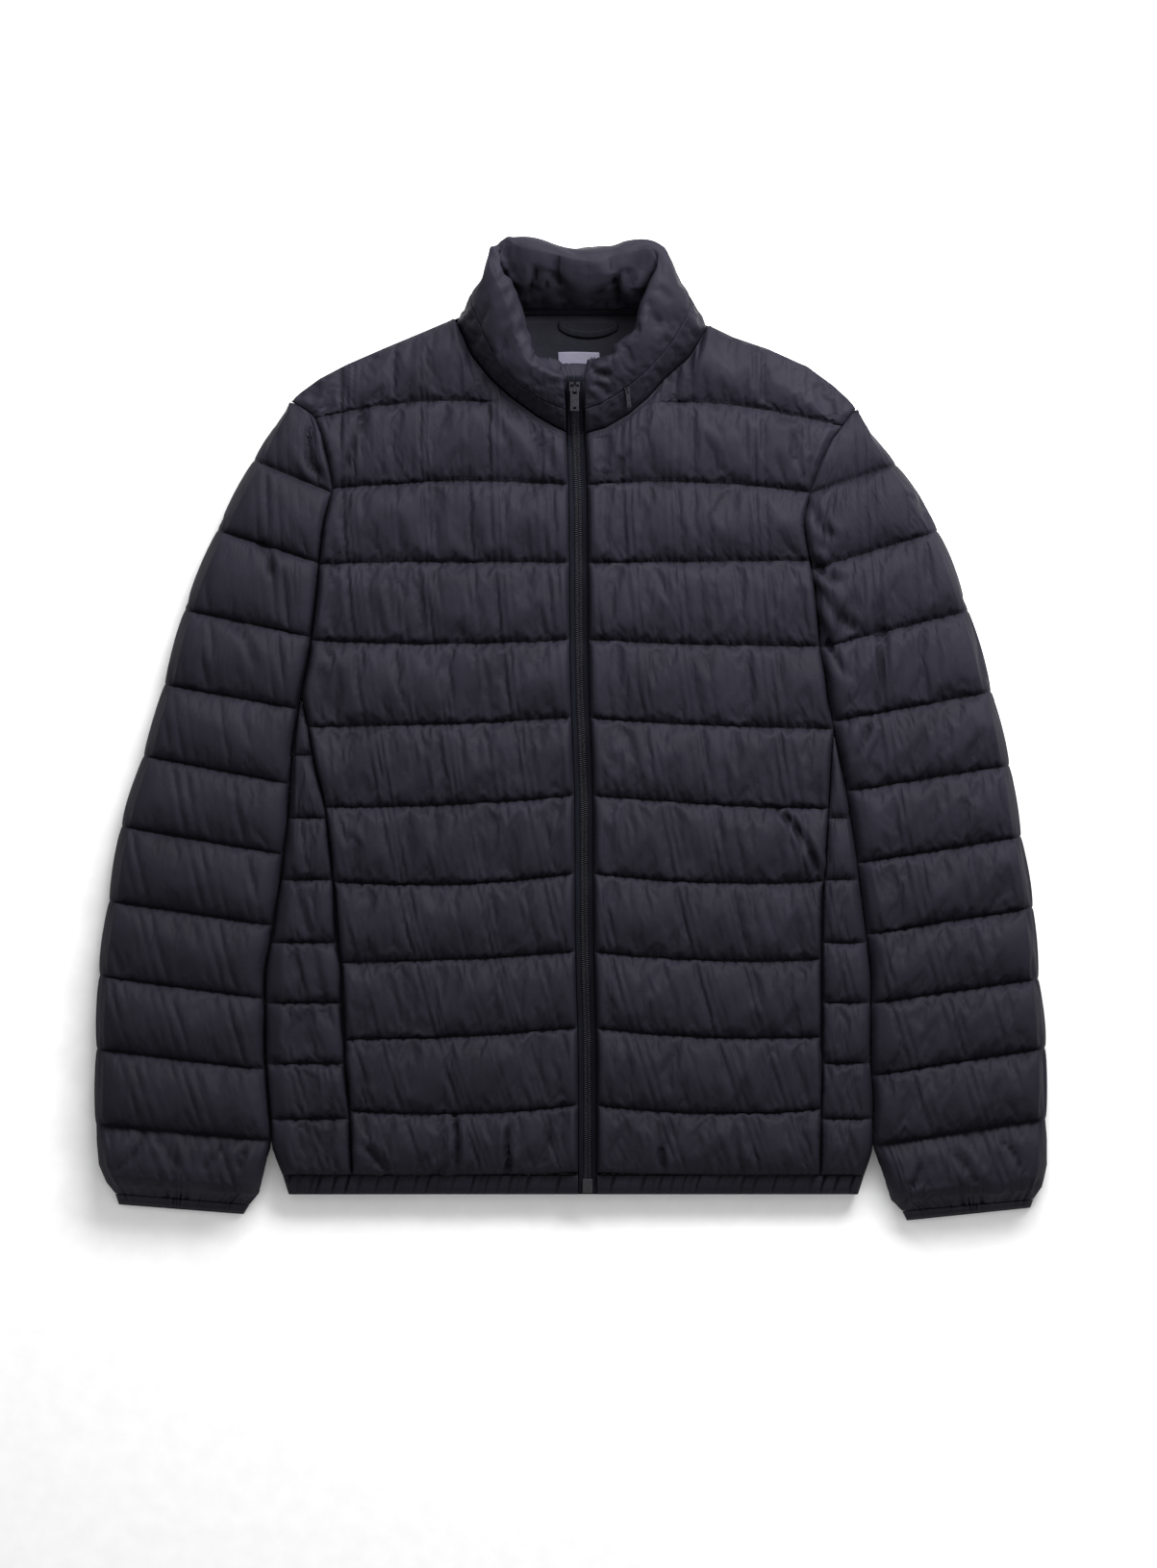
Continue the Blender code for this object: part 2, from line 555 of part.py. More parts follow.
def make_sleeve(side):
    count = len(SLEEVE[side]["outer_x"])
    outer, inner, inner_at = [], [], []
    for seam in range(count - 1):
        for t in SUB_ROWS:
            outer_end, inner_end, closed = sleeve_line(side, seam + t)
            pitch = 40.0 if seam == 0 else FULL_PITCH
            swell = channel(t) * min(1.0, pitch / FULL_PITCH)
            skin, inside = sleeve_section(outer_end, inner_end, swell, closed)
            if seam < 4 or t == 0.0:
                inner.append(inside)
                inner_at.append(len(outer))
            outer.append(skin)
    start = sleeve_line(side, count - 1)
    ends = [(*start[0], *start[1])] + list(zip(*(CUFF[side][c] for c in (
        "outer_x", "outer_y", "inner_x", "inner_y"))))[:3]
    for row, swell, flat, waves in ((0.0, 0.0, 1.0, 0.0), (0.45, 0.8, 0.98, 0.0),
                                    (1.0, 1.0, 0.9, 0.5), (1.6, 0.7, 0.74, 1.6),
                                    (2.0, 0.5, 0.62, 2.2), (3.0, 0.0, CUFF_HEIGHT, 1.6)):
        line = [float(np.interp(row, range(len(ends)), [e[k] for e in ends])) for k in range(4)]
        gathers = CUFF_GATHERS if row >= 1.0 else 0
        skin, inside = sleeve_section(line[:2], line[2:], swell, 1.0, flat, waves, gathers,
                                      at_end=row == 3.0)
        inner.append(inside)
        inner_at.append(len(outer))
        outer.append(skin)
    return padded_wall("sleeve_" + side, outer, inner, inner_at, "nylon", head=7, tail=3,
                       folds=(5, 3))


def make_cuff(side):
    """Elastic binding round the sleeve's end, ribbed by its own gathers."""
    first, last = (np.array([CUFF[side][c][k] for c in ("outer_x", "outer_y", "inner_x",
                                                        "inner_y")]) for k in (2, 3))
    down = (last - first) / np.linalg.norm((last - first)[:2])
    first = first + down * SEW_GAP
    outer, inner = [], []
    for share, flat, lift in ((0.0, CUFF_HEIGHT, 0.6), (0.3, CUFF_HEIGHT, 1.6),
                              (0.75, CUFF_HEIGHT, 1.4), (1.0, CUFF_HEIGHT * 0.94, 0.2)):
        line = blend(first, last, share)
        skin, inside = sleeve_section(line[:2], line[2:], 0.0, 1.0, flat, 1.2, CUFF_GATHERS,
                                      lift, at_end=True)
        outer.append(skin)
        inner.append(inside)
    return padded_wall("cuff_" + side, outer, inner, range(4), "nylon", folds=(5, 3))


# ---------------------------------------------------------------- hem
def hem_section(y, height, low):
    """Section of the hem casing: over the right front, under the back, over the left front."""
    ends = {side: float(zip_x(y)) + sign(side) * ZIP_HALF for side in ("right", "left")}
    folds = {side: body_edge(side, y) for side in ("right", "left")}
    chains = {}
    for side in ("right", "left"):
        top = []
        gathered = 66.0 if side == "right" else 44.0
        waves = HEM_GATHERS[side]
        for f in np.linspace(0, 1, 8)[:-1]:
            top.append((blend(ends[side], folds[side] - sign(side) * gathered, f), height))
        for k in range(2 * waves + 1):
            x = folds[side] - sign(side) * gathered * (1 - k / (2 * waves + 1.0))
            wave = GATHER_DEPTH * (1 if k % 2 else -1)
            top.append((x - sign(side) * 1.5, height + wave))
        s = sign(side)
        top += [(folds[side] - s * 1.4, height - 3), (folds[side], HEM_LAYER + 1),
                (folds[side], 6.5), (folds[side] - s * 3.0, 1.6 + low),
                (folds[side] - s * 10.0, low)]
        chains[side] = top
    outer = chains["right"] + chains["left"][::-1]
    inner = [(ends["right"], HEM_LAYER + 0.4), (folds["right"] + 12.0, HEM_LAYER + 0.4),
             (folds["right"] + 10.5, HEM_LAYER + 0.2), (folds["right"] + 12.0, HEM_LAYER),
             (folds["left"] - 12.0, HEM_LAYER), (folds["left"] - 10.5, HEM_LAYER + 0.2),
             (folds["left"] - 12.0, HEM_LAYER + 0.4), (ends["left"], HEM_LAYER + 0.4)]
    return [[(x, y, z) for x, z in chain] for chain in (outer, inner)]


def make_hem():
    outer, inner = [], []
    for share, height, low in ((0.0, HEM_HEIGHT - 1.6, 0.0), (0.2, HEM_HEIGHT, 0.0),
                               (0.7, HEM_HEIGHT - 0.4, 0.0), (1.0, HEM_HEIGHT - 3.0, 1.4)):
        skin, inside = hem_section(blend(HEM_Y[0], HEM_Y[1], share), height, low)
        outer.append(skin)
        inner.append(inside)
    return padded_wall("hem_casing", outer, inner, range(4), "nylon")


# ---------------------------------------------------------------- collar
def soften(directions):
    """Unit directions that turn evenly from station to station, so thick walls never fold."""
    for _ in range(2):
        directions = directions / np.linalg.norm(directions, axis=-1, keepdims=True)
        mixed = 2.0 * directions
        mixed[1:] += directions[:-1]
        mixed[:-1] += directions[1:]
        mixed[2:] += directions[:-2]
        mixed[:-2] += directions[2:]
        directions = mixed
    return directions / np.linalg.norm(directions, axis=-1, keepdims=True)


def collar_frames():
    """For each station round the neck: points up the wall's middle and its outward directions."""
    rows = len(COLLAR["foot_x"])
    at = np.linspace(0, rows - 1, (rows - 1) * COLLAR_STATIONS_PER_ROW + 1)
    values = {name: smooth(np.arange(rows), column, at) for name, column in COLLAR.items()}
    foot = np.stack([np.interp(at, np.arange(rows), COLLAR[name])
                     for name in ("foot_x", "foot_y")] + [0 * at], 1)
    along = np.gradient(foot, axis=0)
    outward = np.stack([-along[:, 1], along[:, 0], 0 * at], 1)
    outward = soften(outward)
    outward[[0, -1]] = (0, -1, 0)
    start = foot - outward * (COLLAR_FOOT_HALF + SEW_GAP)
    start[:, 2] = COLLAR_FOOT_TOP
    rim = np.stack([values["rim_x"], values["rim_y"], values["rim_z"]], 1)
    lean = start * [0.72, 0.72, 0] + rim * [0.28, 0.28, 0]
    lean[:, 2] = blend(start[:, 2], rim[:, 2], 0.62)
    shares = np.array([0.0, 0.28, BAND_SHARE, 0.68, 0.8, 0.91, 1.0])
    wall = [(1 - t) ** 2 * start + 2 * t * (1 - t) * lean + t * t * rim for t in shares]
    wall = np.stack(wall, 1)
    up = np.gradient(wall, axis=1)
    round_neck = np.gradient(wall, axis=0)
    normal = soften(np.cross(up, round_neck))
    normal[[0, -1], :, 0] = 0.0
    half = np.stack([blend(COLLAR_FOOT_HALF, values["thick"] / 2, ease(t / 0.7))
                     for t in shares], 1)
    inside = np.stack([blend(1.0, values["inside"], ease(t / 0.5)) for t in shares], 1)
    crease = 0 * at
    station = np.arange(len(at))
    for where, depth, width in zip(*(COLLAR_CREASES[c] for c in ("station", "depth", "width"))):
        crease += depth * np.exp(-((station - where) / width) ** 2)
    return wall, normal, up, half, half * inside, outward, crease


def collar_rings():
    """Closed sections of the lower band and of the rolled upper band at every station."""
    wall, normal, up, half, inner_half, outward, crease = collar_frames()
    bands, rolls = [], []
    last = len(wall) - 1
    for k in range(len(wall)):
        out = [wall[k, j] + normal[k, j] * (half[k, j] - 0.35 * crease[k] * (j > 2))
               for j in range(6)]
        inn = [wall[k, j] - normal[k, j] * (inner_half[k, j] - 0.8 * crease[k] * (1 < j))
               for j in range(6)]
        flat = outward[k] * COLLAR_FOOT_HALF
        low = np.array([0, 0, FRONT_UNDER + 0.1 - COLLAR_FOOT_TOP])
        foot = [wall[k, 0] + flat, wall[k, 0] + flat + low, wall[k, 0] - flat + low,
                wall[k, 0] - flat]
        bands.append([out[2], out[1], *foot, inn[1], inn[2]])
        rise = up[k, 6] / np.linalg.norm(up[k, 6])
        roll = []
        for turn in np.radians([20, 65, 115, 160]):
            radius = (half if math.cos(turn) > 0 else inner_half)[k, 6] - 0.5 * crease[k]
            roll.append(wall[k, 6] + math.cos(turn) * radius * normal[k, 6]
                        + math.sin(turn) * (half[k, 6] - 0.5 * crease[k]) * rise)
        lift = np.cross(inn[2] - out[2], wall[min(k + 1, last), 2] - wall[max(k - 1, 0), 2])
        lift *= BAND_GAP / np.linalg.norm(lift)
        rolls.append([out[2] + lift, out[3], out[4], *roll, inn[4], inn[3], inn[2] + lift])
    return bands, rolls


# ---------------------------------------------------------------- neck trims
def strip(name, rows, thickness, look):
    """Thin cloth strip through rows of two points, with a real thickness."""
    points, faces = [], []
    numbers = number_rows(points, rows)
    for a, b in zip(numbers, numbers[1:]):
        faces.append((a[0], a[1], b[1], b[0]))
    piece = make_piece(name, points, faces, look)
    solidify = piece.modifiers.new("thickness", "SOLIDIFY")
    solidify.thickness = thickness * MM
    solidify.offset = 0.0
    return piece


def make_neck_lining():
    """Half-moon of lining on the inside of the back, seen through the neck."""
    wall, _, _, _, _, outward, _ = collar_frames()
    foot = wall[:, 0] - outward * (COLLAR_FOOT_HALF + 1.5 * SEW_GAP)
    sides = [foot[:len(foot) // 2], foot[:len(foot) // 2:-1]]
    rows = []
    for y in np.linspace(LINING_Y[0], LINING_Y[1], 12):
        ends = []
        for chain in sides:
            rising = chain[:int(np.argmax(chain[:, 1] > LINING_Y[1]))]
            ends.append((float(np.interp(y, rising[:, 1], rising[:, 0])), y, FRONT_UNDER + 0.5))
        rows.append(ends)
    return strip("back_neck_lining", rows, 0.8, "lining")


def make_loop():
    """Hanger loop: both ends sewn at the neck seam, its middle hanging in a low bow."""
    rows = []
    for t in np.linspace(0, 1, 13):
        x = blend(-17.0, 30.5, t)
        sag = 4 * t * (1 - t)
        y = 324.0 - 8.5 * sag ** 0.6
        z = 16.6 + 1.8 * sag
        rows.append([(x, y + 2.9, z + 0.8), (x, y - 2.9, z - 0.4)])
    return strip("hanger_loop", rows, 1.0, "lining")


def make_label():
    """Blank woven label, sewn to the lining."""
    rows = [[(x, 301.5, 16.1), (x, 280.5, 16.1)] for x in np.linspace(-17.6, 15.4, 2)]
    return strip("neck_label", rows, 0.6, "label")


# ---------------------------------------------------------------- zips
def zip_path():
    """Middle of the zip from the hem, over the body and up the collar."""
    flat = [(float(zip_x(y)), y, 16.2) for y in np.linspace(HEM_Y[1] + 1.0, 226.0, 20)]
    climb = [(float(zip_x(y)), y, z) for y, z in ((236, 19.0), (245, 26.5), (257, 37.5),
                                                  (269, 48.0), (276.5, 54.5), (281, 56.5))]
    return flat + climb


def make_tape(side):
    rows = []
    for x, y, z in zip_path():
        reach = ZIP_HALF - (0.35 if y < 230 else 1.1)
        rows.append([(x + sign(side) * 0.2, y, z), (x + sign(side) * reach, y, z)])
    return strip("zip_tape_" + side, rows, 1.3, "tape")


def hard_box(name, size, place, axes, look=None, bevel=0.0):
    """Box with its sides along three directions; without a look it only cuts or joins."""
    bpy.ops.mesh.primitive_cube_add(size=1.0)
    piece = bpy.context.object
    piece.name = name
    piece.data.name = name
    piece.data.transform(Matrix.Diagonal([MM * c for c in size] + [1.0]))
    turn = Matrix(axes).transposed().to_4x4()
    piece.matrix_world = Matrix.Translation([MM * c for c in place]) @ turn
    if bevel:
        rounded = piece.modifiers.new("round", "BEVEL")
        rounded.width = bevel * MM
        rounded.segments = 2
    if look:
        piece.data.materials.append(paint(name, look))
    for holder in piece.users_collection:
        holder.objects.unlink(piece)
    (JACKET if look else CUTTERS).objects.link(piece)
    if not look:
        piece.hide_render = True
        piece.display_type = "WIRE"
    return piece


def carve(piece, cutter, operation):
    change = piece.modifiers.new(cutter.name, "BOOLEAN")
    change.operation = operation
    change.object = cutter


def make_zip_pull(name, seat, axes, scale, length):
    """Slider with a bridge, and the pull whose cross bar is held under that bridge.

    The seat is the point of the tape's surface under the slider; the axes run across the tape,
    up the tape and out of it.
    """
    across, up, out = (Vector(a) for a in axes)

    def at(along_up, along_out):
        return Vector(seat) + up * along_up * scale + out * along_out * scale

    slider = hard_box(name + "_slider", [SLIDER[k] * scale for k in ("wide", "long", "thick")],
                      at(0, 0.35 + SLIDER["thick"] / 2), axes, "metal")
    base = 0.35 + SLIDER["thick"]
    pivot = base + PULL["clear"] + PULL["thick"] / 2
    bridge_top = pivot + 1.9
    bridge = hard_box(name + "_bridge", [1.6 * scale, 6.4 * scale, (bridge_top - base + 0.8) * scale],
                      at(0, 0.5 * (bridge_top + base - 0.8)), axes)
    window = hard_box(name + "_bridge_window", [3.0 * scale, 4.4 * scale, 2.2 * scale],
                      at(0, pivot), axes)
    carve(bridge, window, "DIFFERENCE")
    carve(slider, bridge, "UNION")
    tab = hard_box(name + "_pull", [PULL["wide"] * scale, length, PULL["thick"] * scale],
                   at(0, pivot) - up * (length / 2 - 0.7 * scale), axes, "metal")
    eye = hard_box(name + "_pull_eye", [3.4 * scale, 5.6 * scale, 4 * scale],
                   at(-3.5, pivot), axes)
    hole = hard_box(name + "_pull_hole", [2.6 * scale, 2.4 * scale, 4 * scale],
                    at(0, pivot) - up * (length - 3.6 * scale), axes)
    carve(tab, eye, "DIFFERENCE")
    carve(tab, hole, "DIFFERENCE")
    set_origin(tab, at(0, pivot))


def set_origin(piece, point):
    """Move a piece's origin onto its joint's axis without moving its shape."""
    point = MM * Vector(point)
    shift = piece.matrix_world.to_3x3().inverted() @ (piece.matrix_world.translation - point)
    piece.data.transform(Matrix.Translation(shift))
    piece.matrix_world.translation = point


def make_front_zip_hardware():
    path = zip_path()
    low, high = Vector(path[-3]), Vector(path[-2])
    up = (high - low).normalized()
    up.x = 0.0
    up.normalize()
    axes = (Vector((1, 0, 0)), up, Vector((0, -up.z, up.y)))
    seat = low.lerp(high, 0.75) + axes[2] * 0.65
    make_zip_pull("zip", seat, axes, 1.0, PULL["long"])
    foot = (float(zip_x(HEM_Y[1])), HEM_Y[1] + 7.0, 18.9)
    hard_box("zip_box", (8.0, 11.0, 3.2), foot, ((1, 0, 0), (0, 1, 0), (0, 0, 1)), "plastic", 0.5)


def make_hood_zip_hardware():
    """Small slider at the end of the hood zip, on the collar's outer face."""
    wall, normal, _, half, _, _, _ = collar_frames()
    skin = wall[:, 2] + normal[:, 2] * half[:, 2:3]
    k = int(np.argmin(np.where(skin[:, 1] < 290, abs(skin[:, 0] - HOOD_ZIP_END_X), 999)))
    out = Vector(normal[k, 2])
    up = Vector((-0.12, 1, 0))
    up.z = -up.dot(out) / out.z
    up.normalize()
    across = up.cross(out)
    make_zip_pull("hood_zip", Vector(skin[k]) + out * 0.2, (across, up, out), 0.5,
                  HOOD_PULL_LONG)


# ---------------------------------------------------------------- build
for old in list(bpy.data.objects):
    bpy.data.objects.remove(old, do_unlink=True)
JACKET = bpy.data.collections.new("quilted_jacket")
CUTTERS = bpy.data.collections.new("cutters")
for collection in (JACKET, CUTTERS):
    bpy.context.scene.collection.children.link(collection)

for wearer_side in ("right", "left"):
    make_front(wearer_side)
    make_side(wearer_side)
    make_sleeve(wearer_side)
    make_cuff(wearer_side)
    make_tape(wearer_side)
make_back()
make_hem()
band_rings, roll_rings = collar_rings()
ring_tube("collar_band", band_rings, "nylon")
ring_tube("collar_roll", roll_rings, "nylon")
make_neck_lining()
make_loop()
make_label()
make_front_zip_hardware()
make_hood_zip_hardware()
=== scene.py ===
# %% [markdown]
# # A quilted jacket, zipped up and laid on its back
# A light puffer jacket is a bag of thin nylon, sewn through in rows and stuffed with wadding. What
# makes it look real is the cloth itself: each row swells, and the surplus cloth gathers in small
# folds along every seam. So the quilted pieces here are cloth grids that a cloth simulation blows
# up, and the rest is modelled round them. A bump map could draw the folds too, but it would leave
# the outline straight. All sizes are in millimetres until a mesh is made.

# %% Start from the fixed frame
import json
import math

import bmesh
import bpy
import numpy as np
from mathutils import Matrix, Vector

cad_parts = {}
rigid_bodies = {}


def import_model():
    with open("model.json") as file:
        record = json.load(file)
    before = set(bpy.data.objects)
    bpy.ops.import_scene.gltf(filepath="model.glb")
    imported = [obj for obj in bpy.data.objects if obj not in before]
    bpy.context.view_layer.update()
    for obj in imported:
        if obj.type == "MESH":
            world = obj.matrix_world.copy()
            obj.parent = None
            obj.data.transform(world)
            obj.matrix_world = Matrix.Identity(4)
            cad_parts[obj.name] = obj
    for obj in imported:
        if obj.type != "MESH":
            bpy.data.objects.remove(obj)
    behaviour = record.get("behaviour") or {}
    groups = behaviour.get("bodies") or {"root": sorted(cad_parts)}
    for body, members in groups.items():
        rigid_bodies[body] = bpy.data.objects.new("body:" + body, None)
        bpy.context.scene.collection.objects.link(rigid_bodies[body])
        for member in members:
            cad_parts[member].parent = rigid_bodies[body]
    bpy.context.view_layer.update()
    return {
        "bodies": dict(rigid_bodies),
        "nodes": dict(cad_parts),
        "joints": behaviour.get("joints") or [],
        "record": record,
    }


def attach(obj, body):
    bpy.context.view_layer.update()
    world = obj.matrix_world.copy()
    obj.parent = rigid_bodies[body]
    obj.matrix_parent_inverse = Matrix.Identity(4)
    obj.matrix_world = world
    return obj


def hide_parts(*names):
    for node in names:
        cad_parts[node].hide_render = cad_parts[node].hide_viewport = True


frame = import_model()
MM = 0.001

# %% [markdown]
# ## The cut
# A maker starts from the cut: where each seam lies. The tables below give the seams of the laid-out
# jacket. Everything else is worked out from them, so a piece always meets its neighbour. Pieces
# could also be drawn one by one as meshes, but then a moved seam would have to be moved twice.

# %% Sizes of the layers
BACK_TOP = 14.0          # the back layer, pressed flat, is this thick
FRONT_UNDER = 14.4       # plain inside of everything that lies on the back
SEAM_TOP = 20.0          # height of the front where a quilting seam pulls it down
SHOULDER_TOP = 17.0      # and along the shoulder seam
PUFF = 11.8              # how far a full channel swells above its seams
FULL_PITCH = 58.0        # channels narrower than this swell less
PITCH_POWER = 0.6        # and by this power of their share of it
SEW_GAP = 0.4            # between two pieces that are sewn together
ZIP_HALF = 7.6           # from the middle of the zip to the edge of a front
POCKET_SLIT = 1.3        # a front is drawn back by this much along the pocket mouth
POCKET_Y = (-262.0, -116.0)   # the mouth's lower and upper end
YOKE_FROM = 110.0        # further out than this the yoke is a channel of its own
EDGE_ROUND = 6.0         # a channel rounds down over this width at its ends
ARM_EDGE = 0.4           # a channel is still this full where it meets the armhole seam
NECK_EDGE = 0.45         # and the yoke this full where it meets the collar
NECK_X = 104.0           # half width of the neck, at the collar's foot
SCALLOP = 2.8            # a seam draws the folded edge in by this much
CHANNELS = 11            # in each front and each sleeve
SIDES = ("right", "left")     # the wearer's
print("a full channel of the front is", round(SEAM_TOP + PUFF - FRONT_UNDER, 1), "mm thick")


# %% Tables of sizes
def table(columns, *rows):
    """Short table of sizes: one array for each named column."""
    return dict(zip(columns.split(), np.array(rows, float).T))


# %% Seams of the fronts and the sides
FRONT_LINES = table(
    "right_side right_mid zip left_mid left_side",
    (249, 263, 254, 261, 243), (193, 199, 196, 198, 190), (133, 135, 134, 135, 136),
    (73, 70, 73, 69, 68), (4, 6, 11, 5, 2), (-60, -58, -51, -58, -61),
    (-119, -121, -113, -120, -119), (-184, -181, -175, -182, -181),
    (-245, -242, -236, -243, -243), (-301, -304, -297, -304, -300),
    (-353, -353, -351, -353, -353))
TOP = {
    "right": table("x y", (-11, 237.5), (-14, 238.5), (-21, 242), (-34, 249.4), (-56, 265.5),
                   (-72, 280), (-87, 299), (-100, 328), (-125, 317.5), (-155, 305),
                   (-186, 291.5), (-207, 280.5), (-222, 269.5), (-227, 265), (-229.5, 262.4)),
    "left": table("x y", (4.2, 236.5), (7, 237), (20, 240.5), (39, 251.7), (54, 264.5),
                  (68, 280), (88, 298), (102.5, 323), (122, 313.5), (150, 304),
                  (181, 290), (201, 275.5), (213, 264.5), (217.5, 259.5), (219.6, 256.3))}
FRONT_EDGE = {
    "right": table("y x", (262.4, -229.5), (249, -211), (233, -205), (214, -200), (195, -197),
                   (180, -200), (165, -203.5), (138, -206.5), (107, -209), (76, -212.7),
                   (50, -217), (28, -221), (12, -218), (-20, -212), (-60, -203), (-100, -198),
                   (-150, -194.5), (-200, -190), (-250, -188), (-300, -183.5), (-353, -181)),
    "left": table("y x", (256.3, 219.6), (243, 209), (229, 198), (206, 188), (184, 181.5),
                  (164, 178.5), (141, 181.5), (118, 185.5), (92, 188.2), (67, 190.5),
                  (46, 194.3), (20, 197.5), (0, 201.5), (-19, 200), (-60, 198), (-100, 195.5),
                  (-150, 193), (-200, 192.8), (-250, 192.8), (-300, 192), (-353, 191))}
BODY_EDGE = {
    "right": table("y x", (76, -212.7), (50, -217), (20, -223), (-20, -229), (-60, -231.5),
                   (-100, -235.6), (-150, -243), (-200, -250.5), (-250, -250.5), (-300, -247),
                   (-330, -244.5), (-353, -237), (-369, -232)),
    "left": table("y x", (67, 190.5), (46, 194.3), (20, 197.5), (-20, 206), (-60, 214),
                  (-100, 219.8), (-150, 226), (-200, 231.5), (-250, 231), (-300, 233.3),
                  (-330, 232.5), (-353, 226.5), (-369, 221.5))}
SIDE_TOP = {"right": 22.0, "left": -5.0}      # height of the underarm, where a panel starts
SIDE_LINES = (-19.0, -69.0, -118.0, -168.0, -216.0, -264.0, -308.0, -353.0)
SIDE_UNDER = {"right": 0.7, "left": 1.6}      # its width under the fold, to 1 above it
ZIP = table("y x", (285, -4.4), (237, -3.4), (190, -1.6), (46, -0.4), (0, 1.1), (-61, 3.2),
            (-138, 3.4), (-184, 4.0), (-260, 5.9), (-369, 6.1))
print("channels along the zip are", np.diff(-FRONT_LINES["zip"]), "mm high")

# %% Seams of the sleeves, cuffs, hem and collar
SLEEVE = {
    "right": table("outer_x outer_y inner_y closed", (-231.5, 261.5, 260.5, 0),
                   (-261.6, 216.5, 190, 0), (-290.7, 160.7, 134, 0.35), (-316.7, 97, 75, 0.8),
                   (-332.8, 38, 17.6, 1), (-349.6, -19, -42, 1), (-367, -75, -98, 1),
                   (-377, -134.6, -154.5, 1), (-384.8, -194, -212.7, 1),
                   (-387, -252.5, -269, 1), (-387.9, -312, -325, 1)),
    "left": table("outer_x outer_y inner_y closed", (221.5, 256, 255, 0), (254, 212.7, 189, 0),
                  (286.9, 160, 128.5, 0.2), (311.4, 96.4, 66.6, 0.7), (329.7, 32, 7.7, 1),
                  (344, -26.8, -47.4, 1), (353.4, -83.4, -104.8, 1), (362.6, -140, -161.4, 1),
                  (367.2, -196.6, -216.5, 1), (372.6, -251.7, -273.9, 1),
                  (373.3, -307.5, -329, 1))}
CUFF = {
    "right": table("outer_x outer_y inner_x inner_y", (-384, -345, -252, -353),
                   (-378, -360, -255.5, -368), (-373, -368, -263, -377),
                   (-370.5, -377, -268, -385)),
    "left": table("outer_x outer_y inner_x inner_y", (372.5, -345, 243, -358),
                  (369, -363, 247.5, -373), (364, -372.5, 256.5, -382),
                  (362, -379.5, 260.5, -390))}
SLEEVE_END = 0.5         # a sleeve's end is flattened to this share of its height
CUFF_HEIGHT = 0.40       # and the cuff to this
SLEEVE_REST = 0.05       # the sleeve's soft inner edge lies against the body
HEM_Y = (-353.4, -368.8)      # upper and lower edge of the hem
HEM_LAYER = 9.6          # thickness of its lower layer, on the floor
COLLAR = table(
    "foot_x foot_y rim_x rim_y rim_z thick inside",
    (-11, 237.5, -12.4, 278, 49, 12, 1), (-21, 242, -19, 280.5, 50.5, 12.5, 1),
    (-34, 249.4, -30, 285, 52, 13, 1), (-56, 265.5, -40, 294, 54.5, 15, 1),
    (-72, 280, -47.5, 308, 57, 17, 1), (-87, 299, -54, 328, 59, 17.5, 1),
    (-98, 324, -62, 350, 61, 17, 0.7), (-94, 333, -67, 363, 61.5, 13.5, 0.4),
    (-82, 339, -65.5, 374.5, 61, 12, 0.3), (-66, 342, -56, 381, 60, 14, 0.6),
    (-38, 342.5, -37, 379, 58, 20, 1), (0, 342.5, 2, 373.5, 57, 21, 1),
    (38, 342.5, 37, 376.5, 58, 20, 1), (68, 342, 54, 379.5, 60, 14, 0.6),
    (84, 338.5, 64, 373.5, 61, 12, 0.3), (97, 331, 66, 361.5, 61.5, 13.5, 0.4),
    (101, 320, 61.5, 347, 61, 17, 0.7), (88, 298, 54, 330, 59, 17.5, 1),
    (68, 280, 45.5, 312, 57, 17, 1), (54, 264.5, 34, 301, 54.5, 15, 1),
    (39, 251.7, 22.5, 291, 52, 13, 1), (20, 240.5, 12, 284, 50.5, 12.5, 1),
    (4.2, 236.5, 4.0, 279, 49, 12, 1))
COLLAR_FOOT_HALF = 5.0   # half the thickness of the collar's foot
COLLAR_FOOT_TOP = 19.5   # and the height from which its wall rises
BAND_SHARE = 0.55        # the lower band takes this share of the collar's height
BAND_GAP = 0.9           # between the band and the roll, where the hood zip runs
print("collar stations:", len(COLLAR["foot_x"]), "highest rim:", COLLAR["rim_z"].max())


# %% Curves
def smooth(xs, ys, at):
    """Smooth curve through a table's points that never overshoots them."""
    order = np.argsort(xs)
    xs, ys = np.asarray(xs, float)[order], np.asarray(ys, float)[order]
    steps = np.diff(xs)
    slopes = np.diff(ys) / steps
    middle = np.where(slopes[:-1] * slopes[1:] > 0,
                      2 * slopes[:-1] * slopes[1:] / (slopes[:-1] + slopes[1:] + 1e-12), 0.0)
    tangents = np.concatenate([[slopes[0]], middle, [slopes[-1]]])
    at = np.clip(np.asarray(at, float), xs[0], xs[-1])
    cell = np.clip(np.searchsorted(xs, at) - 1, 0, len(xs) - 2)
    width = steps[cell]
    t = (at - xs[cell]) / width
    return ((1 + 2 * t) * (1 - t) ** 2 * ys[cell] + t * (1 - t) ** 2 * width * tangents[cell]
            + t * t * (3 - 2 * t) * ys[cell + 1] + t * t * (t - 1) * width * tangents[cell + 1])


def blend(a, b, share):
    """From a (share 0) to b (share 1) in a straight line."""
    return a + (b - a) * share


def ease(value):
    """0 to 1 with a soft start and end."""
    value = np.clip(value, 0.0, 1.0)
    return value * value * (3 - 2 * value)


def channel(t):
    """Section of a stuffed channel between two seams (0 and 1): flat, with steep sides."""
    return np.clip(4 * t * (1 - t), 0.0, 1.0) ** 0.48


def rounding(distance, width):
    """0 at an end seam, rising as a quarter circle to 1 at the given width."""
    q = np.clip(distance / width, 0.0, 1.0)
    return np.sqrt(1 - (1 - q) ** 2)


# %% Edges of the body
def sign(side):
    """Direction in x that leads outwards on that side."""
    return -1.0 if side == "right" else 1.0


def zip_x(y):
    """Middle of the zip at a height; it lies a little crooked."""
    return smooth(ZIP["y"], ZIP["x"], y)


